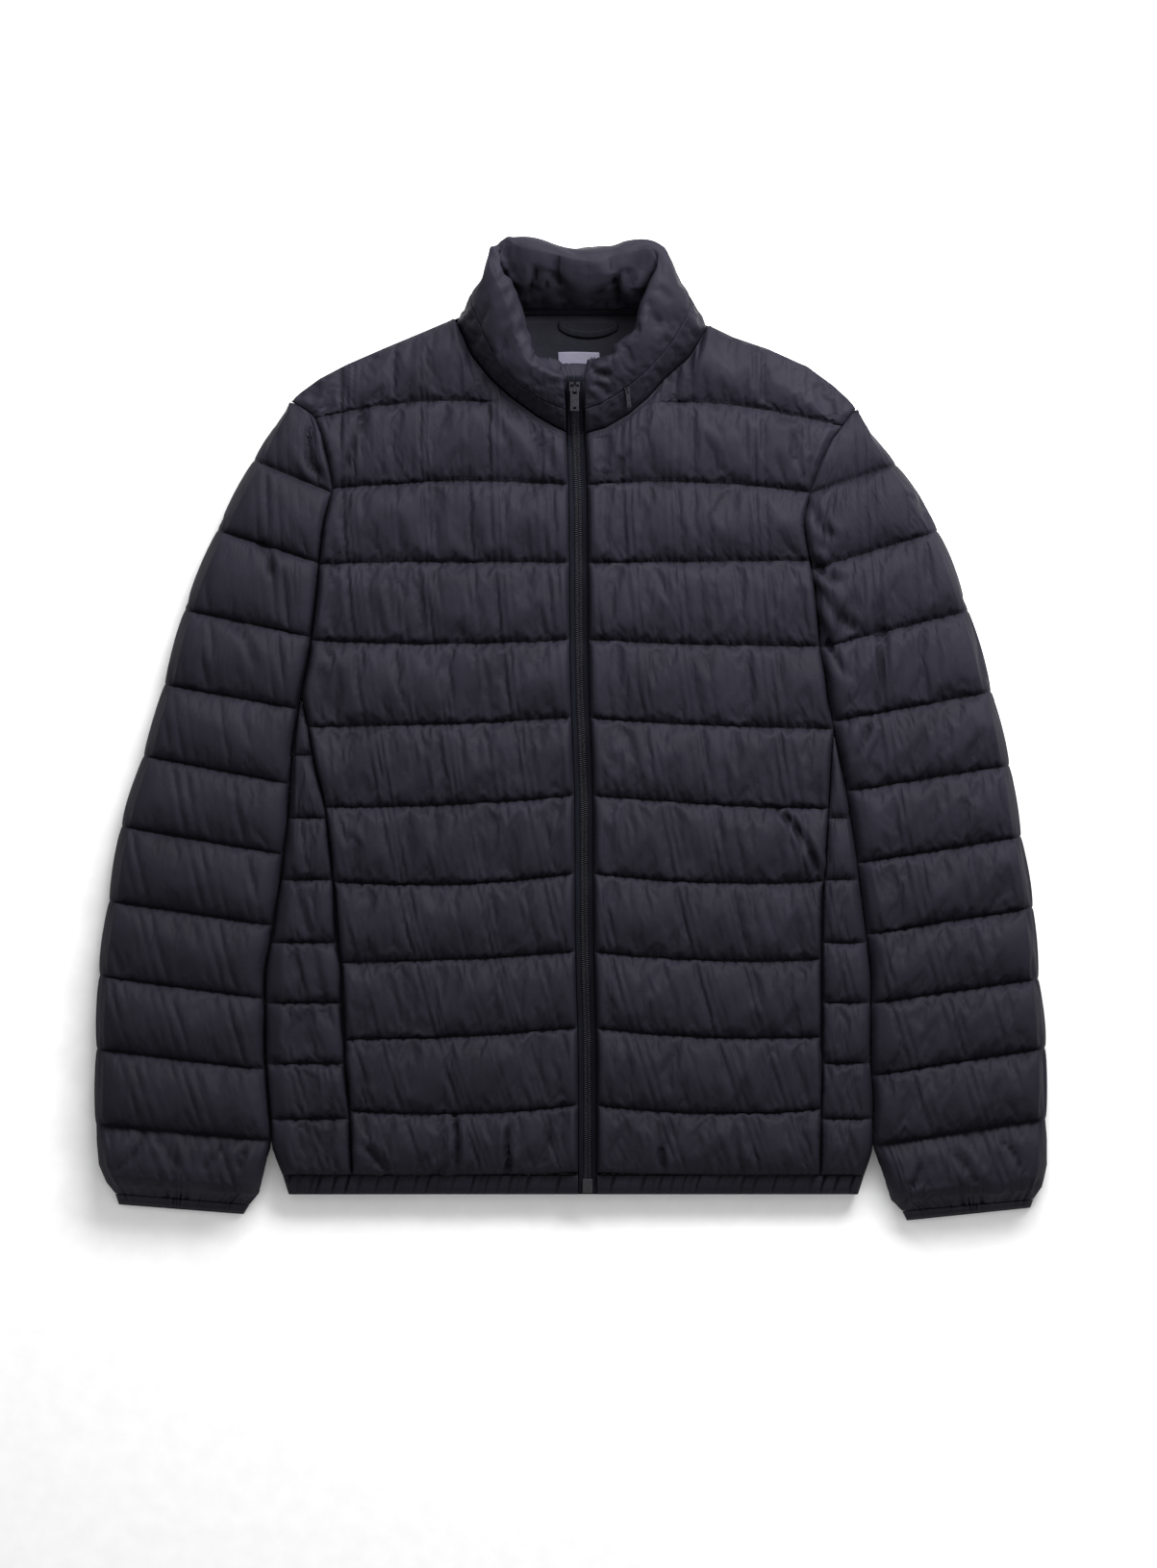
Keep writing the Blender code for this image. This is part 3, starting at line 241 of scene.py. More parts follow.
def pocket(y):
    """1 along the pocket mouth, fading at its two ends."""
    return ease((y - POCKET_Y[0]) / 12.0) * ease((POCKET_Y[1] - y) / 12.0)


def front_edge(side, y):
    """Side edge of a front, drawn back a little at the pocket mouth."""
    edge = smooth(FRONT_EDGE[side]["y"], FRONT_EDGE[side]["x"], y)
    return edge - sign(side) * POCKET_SLIT * pocket(y)


def body_edge(side, y):
    """Outermost line of the body: the armhole above the underarm, the side fold below it."""
    rows = BODY_EDGE[side]
    above = smooth(FRONT_EDGE[side]["y"], FRONT_EDGE[side]["x"], y)
    return np.where(y > rows["y"][0], above, smooth(rows["y"], rows["x"], y))


print("width at the hem:", round(float(body_edge("left", -353) - body_edge("right", -353)), 1))


# %% Rounded lines
def through(points, counts):
    """Rounded line through points, with a number of steps in each span, without its last point."""
    p = [np.array(v, float) for v in points]
    p = [2 * p[0] - p[1], *p, 2 * p[-1] - p[-2]]
    line = []
    for k, count in enumerate(counts):
        a, b, c, d = p[k:k + 4]
        for t in np.arange(count) / count:
            line.append(0.5 * (2 * b + (c - a) * t + (2 * a - 5 * b + 4 * c - d) * t * t
                               + (3 * b - a - 3 * c + d) * t ** 3))
    return line


print("a span of four steps:", np.round(through(((0, 0), (4, 0), (4, 4)), (4, 4)), 1).tolist())

# %% [markdown]
# ## Materials
# The shell is downproof nylon taffeta: a fine, tight weave, calendered so it has a soft sheen. Its
# own threads are a tenth of a millimetre apart, far too fine to show, so what the eye gets from it
# is the dull sheen, a faint grain and the tiny crumples of thin cloth. A picture of cloth could
# give these as well. Noise needs no file and never repeats, so each finish here is noise that
# drives colour, gloss and bump.


# %% Helpers for materials
def srgb(hexadecimal):
    """Linear colour from an sRGB hex value."""
    parts = [int(hexadecimal[i:i + 2], 16) / 255 for i in (0, 2, 4)]
    return (*(p / 12.92 if p <= 0.04045 else ((p + 0.055) / 1.055) ** 2.4 for p in parts), 1.0)


print("mid grey 808080 in linear light:", round(srgb("808080")[0], 3))


def add(material, kind, settings=None, **links):
    """A node with settings, and sockets that take a value or another node's output."""
    node = material.node_tree.nodes.new(kind)
    for name, value in (settings or {}).items():
        setattr(node, name, value)
    for name, value in links.items():
        socket = node.inputs[int(name[1:])] if name[0] == "i" and name[1:].isdigit() else (
            node.inputs[name.replace("_", " ")])
        if isinstance(value, bpy.types.NodeSocket):
            material.node_tree.links.new(value, socket)
        else:
            socket.default_value = value
    return node


def new_material(name, colour, roughness, **values):
    """Material with a Principled shader, its constants set on the shader's own sockets."""
    material = bpy.data.materials.new(name)
    material.use_nodes = True
    shader = material.node_tree.nodes["Principled BSDF"]
    shader.inputs["Base Color"].default_value = colour
    shader.inputs["Roughness"].default_value = roughness
    for socket, value in values.items():
        shader.inputs[socket.replace("_", " ")].default_value = value
    return material, shader


def clouded(material, place, dark, light, low, high, **settings):
    """A cloud of noise, and the colour that it mixes from a dark and a light one."""
    noise = add(material, "ShaderNodeTexNoise", i0=place, **settings)
    colour = add(material, "ShaderNodeValToRGB", i0=noise.outputs["Fac"])
    first, second = colour.color_ramp.elements
    first.color, second.color = srgb(dark), srgb(light)
    first.position, second.position = low, high
    return noise.outputs["Fac"], colour.outputs["Color"]


# %% Cloth and solid materials
def cloth_material(name, dark, light, roughness, crumple, grain, **values):
    """Woven cloth: mottled colour, crumples of a few millimetres and a thread grain.

    The attribute "fold" is high in the valleys of the cloth, which light hardly reaches. There the
    colour and the gloss are darkened by it: painted shade in the folds and along the seams.
    """
    material, shader = new_material(name, srgb(light), roughness, **values)
    link = material.node_tree.links.new
    place = add(material, "ShaderNodeTexCoord").outputs["Object"]
    _, colour = clouded(material, place, dark, light, 0.3, 0.7, Scale=28.0, Detail=4.0)
    # Painted shade: the fold attribute darkens the colour in the cloth's valleys and seams.
    fold = add(material, "ShaderNodeAttribute", {"attribute_name": "fold"})
    shade = add(material, "ShaderNodeMapRange", Value=fold.outputs["Fac"], From_Min=0.3,
                From_Max=2.4, To_Min=1.0, To_Max=0.4).outputs["Result"]
    painted_shade_colour = add(material, "ShaderNodeVectorMath", {"operation": "SCALE"},
               Vector=colour, Scale=shade)
    link(painted_shade_colour.outputs["Vector"], shader.inputs["Base Color"])
    # The gloss is darkened the same way, as painted shade.
    gloss = add(material, "ShaderNodeMath", {"operation": "MULTIPLY"}, i0=shade,
                i1=values["Specular_IOR_Level"])
    link(gloss.outputs["Value"], shader.inputs["Specular IOR Level"])
    crumples = add(material, "ShaderNodeTexNoise", {"noise_type": "RIDGED_MULTIFRACTAL"}, i0=place,
                   Scale=190.0, Detail=3.0, Roughness=0.5)
    fine = add(material, "ShaderNodeTexNoise", i0=place, Scale=1900.0, Detail=2.0)
    low = add(material, "ShaderNodeBump", Height=crumples.outputs["Fac"], Strength=crumple,
              Distance=0.0006)
    top = add(material, "ShaderNodeBump", Height=fine.outputs["Fac"], Strength=grain,
              Distance=0.0002, Normal=low.outputs["Normal"])
    link(top.outputs["Normal"], shader.inputs["Normal"])
    return material


def solid_material(name, dark, light, roughness, scale, **values):
    """Hard or spun material: its colour and gloss vary a little over a few millimetres."""
    material, shader = new_material(name, srgb(light), roughness, **values)
    place = add(material, "ShaderNodeTexCoord").outputs["Object"]
    cloud, colour = clouded(material, place, dark, light, 0.35, 0.65, Scale=scale, Detail=3.0)
    rough = add(material, "ShaderNodeMapRange", Value=cloud, To_Min=0.8 * roughness,
                To_Max=1.25 * roughness)
    material.node_tree.links.new(colour, shader.inputs["Base Color"])
    material.node_tree.links.new(rough.outputs["Result"], shader.inputs["Roughness"])
    return material

# %% [markdown]
# ## Cloth as a grid
# Each quilted piece is a grid of points: rows run across the piece and columns run down it, so a
# quilting seam is simply a row. That row is held still, as the thread holds it. Between the seams
# the cloth is cut a little too large and blown up from inside, and the surplus has to go
# somewhere: it gathers into the small folds of a real puffer jacket.

# %% Grids, and the cloth laid out for the simulation
CHANNEL_ROWS = 24        # rows of points in one full channel, closer together at its seams
GATHER = 1.055           # the cloth is cut this much longer than the seams that hold it
SIM_FRAMES = 24
GATHER_FRAMES = 12       # in these the seams draw the cloth in
WAVE_PITCH = 11.0        # the cloth starts with faint waves this far apart
WAVE_LEAN = 0.0003       # which curve to one side, away from the chest
CHEST_Y = 260.0
SEAM_ROWS = list(range(0, CHANNELS * CHANNEL_ROWS + 1, CHANNEL_ROWS))
WAVE_SEEDS = {"front_right": 3, "front_left": 4, "side_right": 5, "side_left": 6,
              "sleeve_right": 7, "sleeve_left": 8, "collar_band": 9, "collar_roll": 9}
CLOTHS = {}
print("rows that a seam holds:", SEAM_ROWS)


def row_shares(count=CHANNEL_ROWS):
    """Where a channel's rows lie between its seams, closer together at the seams."""
    share = np.arange(count) / count
    return 0.55 * share + 0.45 * (0.5 - 0.5 * np.cos(np.pi * share))


def grid_quads(shape, ring=False):
    """Corner numbers of a grid's faces; a ring's last column meets its first."""
    numbers = np.arange(shape[0] * shape[1]).reshape(shape[0], shape[1])
    if ring:
        numbers = np.hstack([numbers, numbers[:, :1]])
    corners = (numbers[:-1, :-1], numbers[:-1, 1:], numbers[1:, 1:], numbers[1:, :-1])
    return np.stack(corners, -1).reshape(-1, 4)


def facing_in(skin, quads, ring):
    """True if the faces of a skin point to the inside of the piece."""
    points = skin.reshape(-1, 3)
    a, b, c, d = (points[quads[:, k]] for k in range(4))
    centre = (a + b + c + d) / 4
    heart = skin.mean(axis=1) if ring else np.tile((*skin.reshape(-1, 3).mean(0)[:2], 10.0),
                                                   (len(skin), 1))
    per_row = len(quads) // (len(skin) - 1)
    inside = np.repeat((heart[:-1] + heart[1:]) / 2, per_row, axis=0)
    return float((np.cross(c - a, d - b) * (centre - inside)).sum()) < 0


# %% Folds at uneven distances
def ripple(s, spacing, seed):
    """Row of folds about a spacing apart, uneven: below 0 in sharp valleys, above on the ridges."""
    rng = np.random.default_rng(seed)
    drift = sum(rng.uniform(0.2, 0.5) * np.sin(s / rng.uniform(1.5, 7) / spacing * 5
                                               + rng.uniform(0, 6.3)) for _ in range(4))
    size = 0.55 + 0.45 * np.sin(s / rng.uniform(2, 5) / spacing * 4 + rng.uniform(0, 6.3))
    return size * (np.abs(np.sin(np.pi * (s / spacing + drift))) - 0.64)


print("ripple runs from", ripple(np.arange(500.0), 11.0, 1).min().round(2), "to",
      ripple(np.arange(500.0), 11.0, 1).max().round(2))


# %% A cloth ready for the simulation
def lay_cloth(name, skin, held, most, gather=(GATHER, 1, 1), ring=False, pressure=2.0):
    """Cloth object that starts at its cut size; its held points then go to their seams.

    Faint waves across the cloth give it somewhere to start folding. No point will move further
    from the skin than the length that most gives for it.
    """
    seed = WAVE_SEEDS[name]
    if ring:
        steps = np.linalg.norm(np.diff(skin.mean(1), axis=0), axis=1)
        across = np.concatenate([[0], np.cumsum(steps)])[:, None] + 0 * skin[..., 0]
    else:
        across = skin[..., 0] - WAVE_LEAN * (skin[..., 1] - CHEST_Y) ** 2
    waves = (0.5 if ring else 0.8) * ripple(across, WAVE_PITCH, seed)
    waves = waves + np.random.default_rng(seed).normal(0, 0.1, held.shape)
    middle = skin.reshape(-1, 3).mean(0)
    cut = middle + (skin - middle) * gather
    cut[..., 2] += np.where(held, 0.0, waves * ease((skin[..., 2] - 14) / 6))
    quads = grid_quads(skin.shape, ring)
    if facing_in(skin, quads, ring):
        quads = quads[:, ::-1]
    mesh = bpy.data.meshes.new(name + "_cloth")
    mesh.from_pydata((cut.reshape(-1, 3) * MM).tolist(), [], quads.tolist())
    piece = bpy.data.objects.new(name + "_cloth", mesh)
    bpy.context.scene.collection.objects.link(piece)
    pins = piece.vertex_groups.new(name="held")
    pins.add(np.nonzero(held.ravel())[0].tolist(), 1.0, "REPLACE")
    piece.shape_key_add(name="cut")
    sewn = piece.shape_key_add(name="sewn")
    sewn.data.foreach_set("co", (skin * MM).ravel())
    for frame, value in ((1, 0.0), (GATHER_FRAMES, 1.0)):
        sewn.value = value
        sewn.keyframe_insert("value", frame=frame)
    change = piece.modifiers.new("cloth", "CLOTH")
    cloth = change.settings
    cloth.vertex_group_mass = "held"
    cloth.use_pressure = True
    cloth.uniform_pressure_force = pressure
    cloth.mass = 0.3
    cloth.quality = 5
    cloth.tension_stiffness = cloth.compression_stiffness = 15.0
    cloth.shear_stiffness = 4.5
    cloth.bending_stiffness = 1.0
    cloth.air_damping = 2.0
    cloth.effector_weights.gravity = 0.0
    change.collision_settings.use_collision = False
    change.collision_settings.use_self_collision = False
    change.point_cache.frame_start = 1
    change.point_cache.frame_end = SIM_FRAMES
    CLOTHS[name] = {"object": piece, "start": skin, "most": np.broadcast_to(most, held.shape)}


# %% The simulation itself
def blow_up():
    """Run the simulation for all the cloths at once and keep each result in its grid."""
    for number in range(1, SIM_FRAMES + 1):
        bpy.context.scene.frame_set(number)
    seen = bpy.context.evaluated_depsgraph_get()
    for name, cloth in CLOTHS.items():
        start = cloth["start"]
        blown = start.ravel() * MM
        cloth["object"].evaluated_get(seen).data.vertices.foreach_get("co", blown)
        moved = blown.reshape(start.shape) / MM - start
        length = np.linalg.norm(moved, axis=2)
        limit = cloth["most"] * np.tanh(length / cloth["most"])
        cloth["skin"] = start + moved * (limit / np.maximum(length, 1e-9))[..., None]
        print(name, start.shape, "moved", length.mean().round(1), "most", length.max().round(1),
              "top", cloth["skin"][..., 2].max().round(1))
        bpy.data.objects.remove(cloth["object"], do_unlink=True)


# %% [markdown]
# ## Fronts
# Each front has eleven channels. Its top follows the neck seam and the shoulder, so the first
# channel is a yoke that runs out to nothing at the neck. A plane with displacement would be
# quicker, but its rows wouldn't follow the slanted seams; here each row is worked out from them.


# %% Skins of the fronts
FRONT_COLUMNS = 97
FRONT_WIDTH = 190.0      # about what a front measures across
ARMHOLE_FROM = 60.0      # above this height the front's side edge is the armhole


def seam_heights(side, u):
    """Heights of the quilting seams of a front at the shares u of its width from the zip."""
    at_zip, middle, at_side = (FRONT_LINES[c][:, None] for c in (
        "zip", side + "_mid", side + "_side"))
    return at_zip * (1 - u) * (1 - 2 * u) + middle * 4 * u * (1 - u) + at_side * u * (2 * u - 1)


def front_skin(side):
    """Points of a front's outer skin, and which of them a seam holds."""
    u = np.linspace(0, 1, FRONT_COLUMNS)[None]
    top = TOP[side]
    s = sign(side)
    top_x = blend(top["x"][0], top["x"][-1], u)
    top_y = np.interp(s * top_x, s * top["x"], top["y"])
    seams = seam_heights(side, u[0])
    bounds = np.vstack([top_y, np.minimum(seams[:1], top_y - 5.0), seams[1:]])
    t = np.append(np.tile(row_shares(), len(bounds) - 1), 1.0)[:, None]
    cell = np.append(np.repeat(np.arange(len(bounds) - 1), CHANNEL_ROWS), len(bounds) - 2)
    y = blend(bounds[cell], bounds[cell + 1], t)
    second = bounds[2:3]
    share = (y - second) / (top_y - second)
    low = blend(zip_x(second) + s * ZIP_HALF, front_edge(side, second), u)
    side_second = seams[1, -1]
    side_y = blend(side_second, top["y"][-1], share)
    straight = blend(front_edge(side, side_second), top["x"][-1], share)
    high_x = blend(low, top_x, share) + u ** 3 * (front_edge(side, side_y) - straight)
    low_x = blend(zip_x(y) + s * ZIP_HALF, front_edge(side, y), u)
    x = np.where(y >= second, high_x, low_x)
    width = np.where(y >= second, blend(FRONT_WIDTH, abs(top["x"][-1] - top["x"][0]), share),
                     FRONT_WIDTH)
    pitch = bounds[cell] - bounds[cell + 1]
    swell = channel(t) * np.minimum(1.0, pitch / FULL_PITCH) ** PITCH_POWER
    single = channel(np.clip((top_y - y) / (top_y - second), 0, 1))
    single = single * np.minimum(1.0, (top_y - second) / FULL_PITCH) ** PITCH_POWER
    real = np.where(np.abs(top_x) > YOKE_FROM, 1.0, ease((top_y - seams[:1] - 8.0) / 25.0))
    swell = np.where(cell[:, None] < 2, blend(single, swell, real), swell)
    at_arm = ARM_EDGE * ease((y - ARMHOLE_FROM) / 20.0)
    at_neck = NECK_EDGE * ease((NECK_X - abs(top_x)) / 8.0) * ease((22.0 - top_y + y) / 20.0)
    swell = np.maximum(swell, at_neck * (y >= second))
    swell = swell * rounding(u * width, EDGE_ROUND)
    swell = swell * blend(at_arm, 1.0, rounding((1 - u) * width, EDGE_ROUND))
    shoulder = blend(SHOULDER_TOP, SEAM_TOP, ease((top_y - y) / 25.0))
    base = np.where(u > 0.42, shoulder, SEAM_TOP)
    skin = np.stack([x + 0 * y, y + 0 * x, base + PUFF * swell], -1)
    held = np.zeros(y.shape, bool)
    held[::CHANNEL_ROWS] = True
    held[:, [0, -1]] = True
    held[:CHANNEL_ROWS] |= pitch[:CHANNEL_ROWS] < 10.0
    held[CHANNEL_ROWS] &= (real[0] > 0.2) | (pitch[0] < 10.0)
    return skin, held


for side in SIDES:
    skin, held = front_skin(side)
    lay_cloth("front_" + side, skin, held, most=8.0)
    print("front", side, skin.shape, skin.reshape(-1, 3).min(0).round(), "to",
          skin.reshape(-1, 3).max(0).round())

# %% [markdown]
# ## Side panels
# A narrow panel goes round the fold of the body between front and back. It has shorter channels
# of its own, and its front seam holds the pocket. It could be a bent copy of a front; a section
# drawn for each row is surer, because every seam can then draw the fold in by a little.


# %% Skins of the side panels
SIDE_ROWS = 18
SIDE_PITCH = 48.0        # a side's channels swell fully from this pitch on


def side_chain(side, y, swell):
    """Outer points of a side panel's section: under the body, round the fold and over the top."""
    top = abs(float(body_edge(side, y)) - float(front_edge(side, y))) - SEW_GAP
    top -= POCKET_SLIT * float(pocket(y))
    under = max(6.0, (top + POCKET_SLIT * float(pocket(y))) * SIDE_UNDER[side])
    drawn = SCALLOP * (1 - swell) + 1.2 * swell
    fold = min(2.4, 0.3 * top)

    def height(d):
        return SEAM_TOP + PUFF * 0.9 * swell * rounding(d, 18.0) * rounding(top - d, 11.0)

    tip = min(4.5, 0.4 * under)
    chain = [(d, 0.0) for d in np.linspace(under, min(12.0, 0.75 * under), 4)[:-1]]
    bend = [(min(12.0, 0.75 * under), 0), (tip + drawn * 0.5, 2), (drawn * 0.25, 9),
            (drawn * 0.25, 17), (fold + drawn * 0.4, float(height(fold)) - 0.8),
            (top * 0.2, float(height(top * 0.2)))]
    chain += [tuple(p) for p in through(bend, (2, 3, 3, 2, 2))]
    chain += [(top * f, float(height(top * f))) for f in np.linspace(0.2, 1.0, 21)]
    return chain


def side_rows(side):
    """Height and swell of each row of a side panel."""
    lines = [SIDE_TOP[side]] + [y for y in SIDE_LINES if y < SIDE_TOP[side] - 20]
    steps = [(blend(a, b, t), channel(t) * min(1.0, (a - b) / SIDE_PITCH) ** PITCH_POWER)
             for a, b in zip(lines, lines[1:]) for t in row_shares(SIDE_ROWS)]
    return steps + [(lines[-1], 0.0)]


def side_skin(side):
    """Points of a side panel's outer skin, and which of them are held."""
    rows = []
    for y, swell in side_rows(side):
        edge = float(body_edge(side, y))
        rows.append([(edge - sign(side) * d, y, z) for d, z in side_chain(side, y, swell)])
    skin = np.array(rows)
    held = np.zeros(skin.shape[:2], bool)
    held[::SIDE_ROWS] = True
    held[:, :5] = held[:, -1] = True
    return skin, held


for side in SIDES:
    skin, held = side_skin(side)
    most = np.interp(np.arange(skin.shape[1]), (0, 5, 12, 18), (0.1, 1.5, 2.0, 8.0))
    lay_cloth("side_" + side, skin, held, most)
    print("side", side, skin.shape)

# %% [markdown]
# ## Sleeves
# A sleeve is a flattened tube. Its skin runs from the underarm seam round under the arm, up round
# the outer fold and back over the top. At the cuff the same width of cloth has to fit a shorter
# elastic, so it stands in close gathers there. A round tube could be dropped and left to flatten
# itself, but its seams would end up anywhere; drawn sections keep each seam on its line.


# %% Skins of the sleeves
FOLD_STEPS = (2, 4, 3, 3)
CUFF_PITCH = 8.5         # the cuff's elastic gathers the cloth in folds this far apart
CUFF_WAVES = 7.0         # and this deep at the cuff's seam
TOP_COLUMNS = 60         # points across the top of a section
OUTER_FOLD = 17          # the section's point at its outer fold
SLEEVE_GATHER = {"right": 1.02, "left": 1.05}


def sleeve_height(q, width, swell, closed, small):
    """Height of the sleeve's skin at the distance q from its outer fold."""
    near_outer = rounding(q, 14.0 * small)
    near_inner = rounding(width - q, blend(9.0, 20.0, closed) * small)
    base = SEAM_TOP - 4.0 * (1 - near_outer) - 8.0 * closed * (1 - near_inner)
    full = rounding(width - q, blend(7.0, 20.0, closed) * small)
    full = blend(ARM_EDGE * (1 - closed), 1.0, full) * rounding(q, 24.0 * small)
    return base + PUFF * 1.08 * swell * full


def mixer(closed):
    """Function that mixes a point of an open section with the same point of a closed one."""
    return lambda opened, shut: tuple(blend(a, b, closed) for a, b in zip(opened, shut))


def sleeve_chain(width, swell, closed, waves=0.0, columns=TOP_COLUMNS, scallop=SCALLOP):
    """Outer points across a sleeve, from the underarm seam round to it again."""
    small = min(1.0, width / 70.0)
    drawn = scallop * (1 - swell) * small + 1.0 * swell
    at = mixer(closed)

    def top(q):
        return float(sleeve_height(q, width, swell, closed, small))

    chain = through([at((width, 0), (width - 0.8, 8.0)),
                     at((width - 4 * small, 0), (width - 3.5, 1.6)),
                     (width - 13 * small, 0)], (2, 2))
    chain += [(q, 0.0) for q in np.linspace(width - 13 * small, 13 * small, 8)[:-1]]
    chain += through([(13 * small, 0), (4 * small + drawn, 2.4), (drawn, 11),
                      (2.6 * small + drawn, 18.2 + 1.5 * swell), (9 * small, top(9 * small))],
                     FOLD_STEPS)
    qs = np.linspace(9 * small, width - 11 * small, columns)
    wave = waves * ripple(qs * 140 / width, CUFF_PITCH, 21)
    wave *= ease((qs - 5 * small) / 8) * ease((width - 7 * small - qs) / 8)
    chain += [(q, top(q) + w) for q, w in zip(qs, wave)]
    chain += through([(width - 8 * small, top(width - 8 * small)),
                      (width - 5 * small, top(width - 5 * small)),
                      at((width - 2 * small, top(width - 2 * small)), (width - 0.4, 15.0)),
                      at((width, top(width)), (width - 0.6, 8.5))], (1, 2, 2))
    chain.append(at((width, top(width)), (width - 0.6, 8.5)))
    return np.array([tuple(p) for p in chain], float)


def inner_chain(width, closed):
    """Inside of the same section, which is plain."""
    small = min(1.0, width / 70.0)
    at = mixer(closed)
    middle = 0.5 * (BACK_TOP + FRONT_UNDER)
    return np.array([at((width, BACK_TOP), (width - 7, 13.2)), (width - 15 * small, BACK_TOP),
                     (13 * small, BACK_TOP), (11.5 * small, middle), (13 * small, FRONT_UNDER),
                     (width - 15 * small, FRONT_UNDER),
                     at((width, FRONT_UNDER), (width - 7, 13.7))], float)


def placed(chain, outer_end, inner_end, flat=1.0, lift=0.0):
    """A section's points set across the sleeve, between the ends of its line."""
    outer_end, inner_end = np.array(outer_end, float), np.array(inner_end, float)
    across = (inner_end - outer_end) / np.linalg.norm(inner_end - outer_end)
    plan = outer_end + chain[:, :1] * across
    raised = chain[:, 1] * flat + np.where(chain[:, 1] > BACK_TOP, lift, 0.0)
    return np.column_stack([plan, raised])


def sleeve_line(side, share):
    """Both ends of the sleeve's cross line at a row number, counted in seams."""
    rows = SLEEVE[side]
    at = np.arange(len(rows["outer_x"]))
    outer = (float(smooth(at, rows["outer_x"], share)), float(smooth(at, rows["outer_y"], share)))
    inner_y = float(smooth(at, rows["inner_y"], share))
    inner = (float(body_edge(side, inner_y)) + sign(side) * SLEEVE_REST, inner_y)
    return outer, inner, float(np.interp(share, at, rows["closed"]))


def sleeve_rows(side):
    """For each row: the ends of its line, swell, how far it is closed, flattening and gathers."""
    last = len(SLEEVE[side]["outer_x"]) - 1
    rows = []
    for seam in range(last):
        for t in row_shares():
            outer, inner, closed = sleeve_line(side, seam + t)
            size, flat = (0.7, blend(0.85, 1.0, t)) if seam == 0 else (1.0, 1.0)
            rows.append((outer, inner, channel(t) * size, closed, flat, 0.0))
    start = sleeve_line(side, last)
    ends = [(*start[0], *start[1])] + list(zip(*(CUFF[side][c] for c in (
        "outer_x", "outer_y", "inner_x", "inner_y"))))[:3]
    for at in np.linspace(0, 3, CHANNEL_ROWS + 1):
        line = [float(np.interp(at, range(4), [e[k] for e in ends])) for k in range(4)]
        swell, flat, waves = (float(np.interp(at, (0, 0.45, 1, 1.6, 2, 3), column)) for column in (
            (0, 0.8, 1, 1, 0.85, 0.1), (1, 0.98, 0.95, 0.9, 0.78, SLEEVE_END),
            (0, 0, 0, 1.4, 3.8, CUFF_WAVES)))
        rows.append((line[:2], line[2:], swell, 1.0, flat, waves))
    return rows


def sleeve_skin(side):
    """Points of a sleeve's outer skin, and which of them are held."""
    rows = []
    for number, (outer, inner, swell, closed, flat, waves) in enumerate(sleeve_rows(side)):
        scallop = SCALLOP * min(1.0, number / CHANNEL_ROWS)
        chain = sleeve_chain(math.dist(outer, inner), swell, closed, waves, scallop=scallop)
        rows.append(placed(chain, outer, inner, flat))
    skin = np.array(rows)
    held = np.zeros(skin.shape[:2], bool)
    held[::CHANNEL_ROWS] = True
    held[:, :12] = held[:, -4:] = True
    return skin, held


for side in SIDES:
    skin, held = sleeve_skin(side)
    columns = np.arange(skin.shape[1])
    most = np.interp(columns, (0, 11, 17, 23, 32, skin.shape[1] - 8, skin.shape[1] - 1),
                     (0.1, 1.0, 2.6, 4.5, 9.0, 9.0, 1.0))
    lay_cloth("sleeve_" + side, skin, held, most, gather=(SLEEVE_GATHER[side], 1, 1))
    print("sleeve", side, skin.shape)

# %% [markdown]
# ## Collar
# The stand collar has two parts: a lower band on the neck seam and, above the hood zip, a fat roll
# that holds the folded hood. Both are rings of points, one ring for each station round the neck.
# A box bent along a curve would pinch where the neck turns sharply. Rings can lean and thicken
# one by one, and their directions are evened out so that they don't cross.

# %% Skins of the collar
STATIONS_PER_ROW = 9


def soften(directions, rounds=6):
    """Unit directions that turn evenly from station to station, so thick walls never fold."""
    for _ in range(rounds):
        directions = directions / np.linalg.norm(directions, axis=-1, keepdims=True)
        mixed = 2.0 * directions
        for step in (1, 2, 4):
            mixed[step:] += directions[:-step]
            mixed[:-step] += directions[step:]
        directions = mixed
    return directions / np.linalg.norm(directions, axis=-1, keepdims=True)


def collar_frames(shares):
    """For each station: points up the wall's middle, their outward directions and half widths."""
    rows = len(COLLAR["foot_x"])
    at = np.linspace(0, rows - 1, (rows - 1) * STATIONS_PER_ROW + 1)
    values = {name: smooth(np.arange(rows), column, at) for name, column in COLLAR.items()}
    foot = np.stack([np.interp(at, np.arange(rows), COLLAR[name])
                     for name in ("foot_x", "foot_y")] + [0 * at], 1)
    along = np.gradient(foot, axis=0)
    outward = soften(np.stack([-along[:, 1], along[:, 0], 0 * at], 1))
    outward[[0, -1]] = (0, -1, 0)
    start = foot - outward * (COLLAR_FOOT_HALF + SEW_GAP)
    start[:, 2] = COLLAR_FOOT_TOP
    rim = np.stack([values["rim_x"], values["rim_y"], values["rim_z"]], 1)
    lean = start * [0.72, 0.72, 0] + rim * [0.28, 0.28, 0]
    lean[:, 2] = blend(start[:, 2], rim[:, 2], 0.62)
    wall = [(1 - t) ** 2 * start + 2 * t * (1 - t) * lean + t * t * rim for t in shares]
    wall = np.stack(wall, 1)
    up = np.gradient(wall, axis=1)
    round_neck = np.gradient(wall, axis=0)
    normal = soften(np.cross(up, round_neck))
    normal[[0, -1], :, 0] = 0.0
    half = [blend(COLLAR_FOOT_HALF, values["thick"] / 2, ease(t / 0.7)) for t in shares]
    half = np.stack(half, 1)
    inside = np.stack([blend(1.0, values["inside"], ease(t / 0.5)) for t in shares], 1)
    return wall, normal, up, half, half * inside, outward


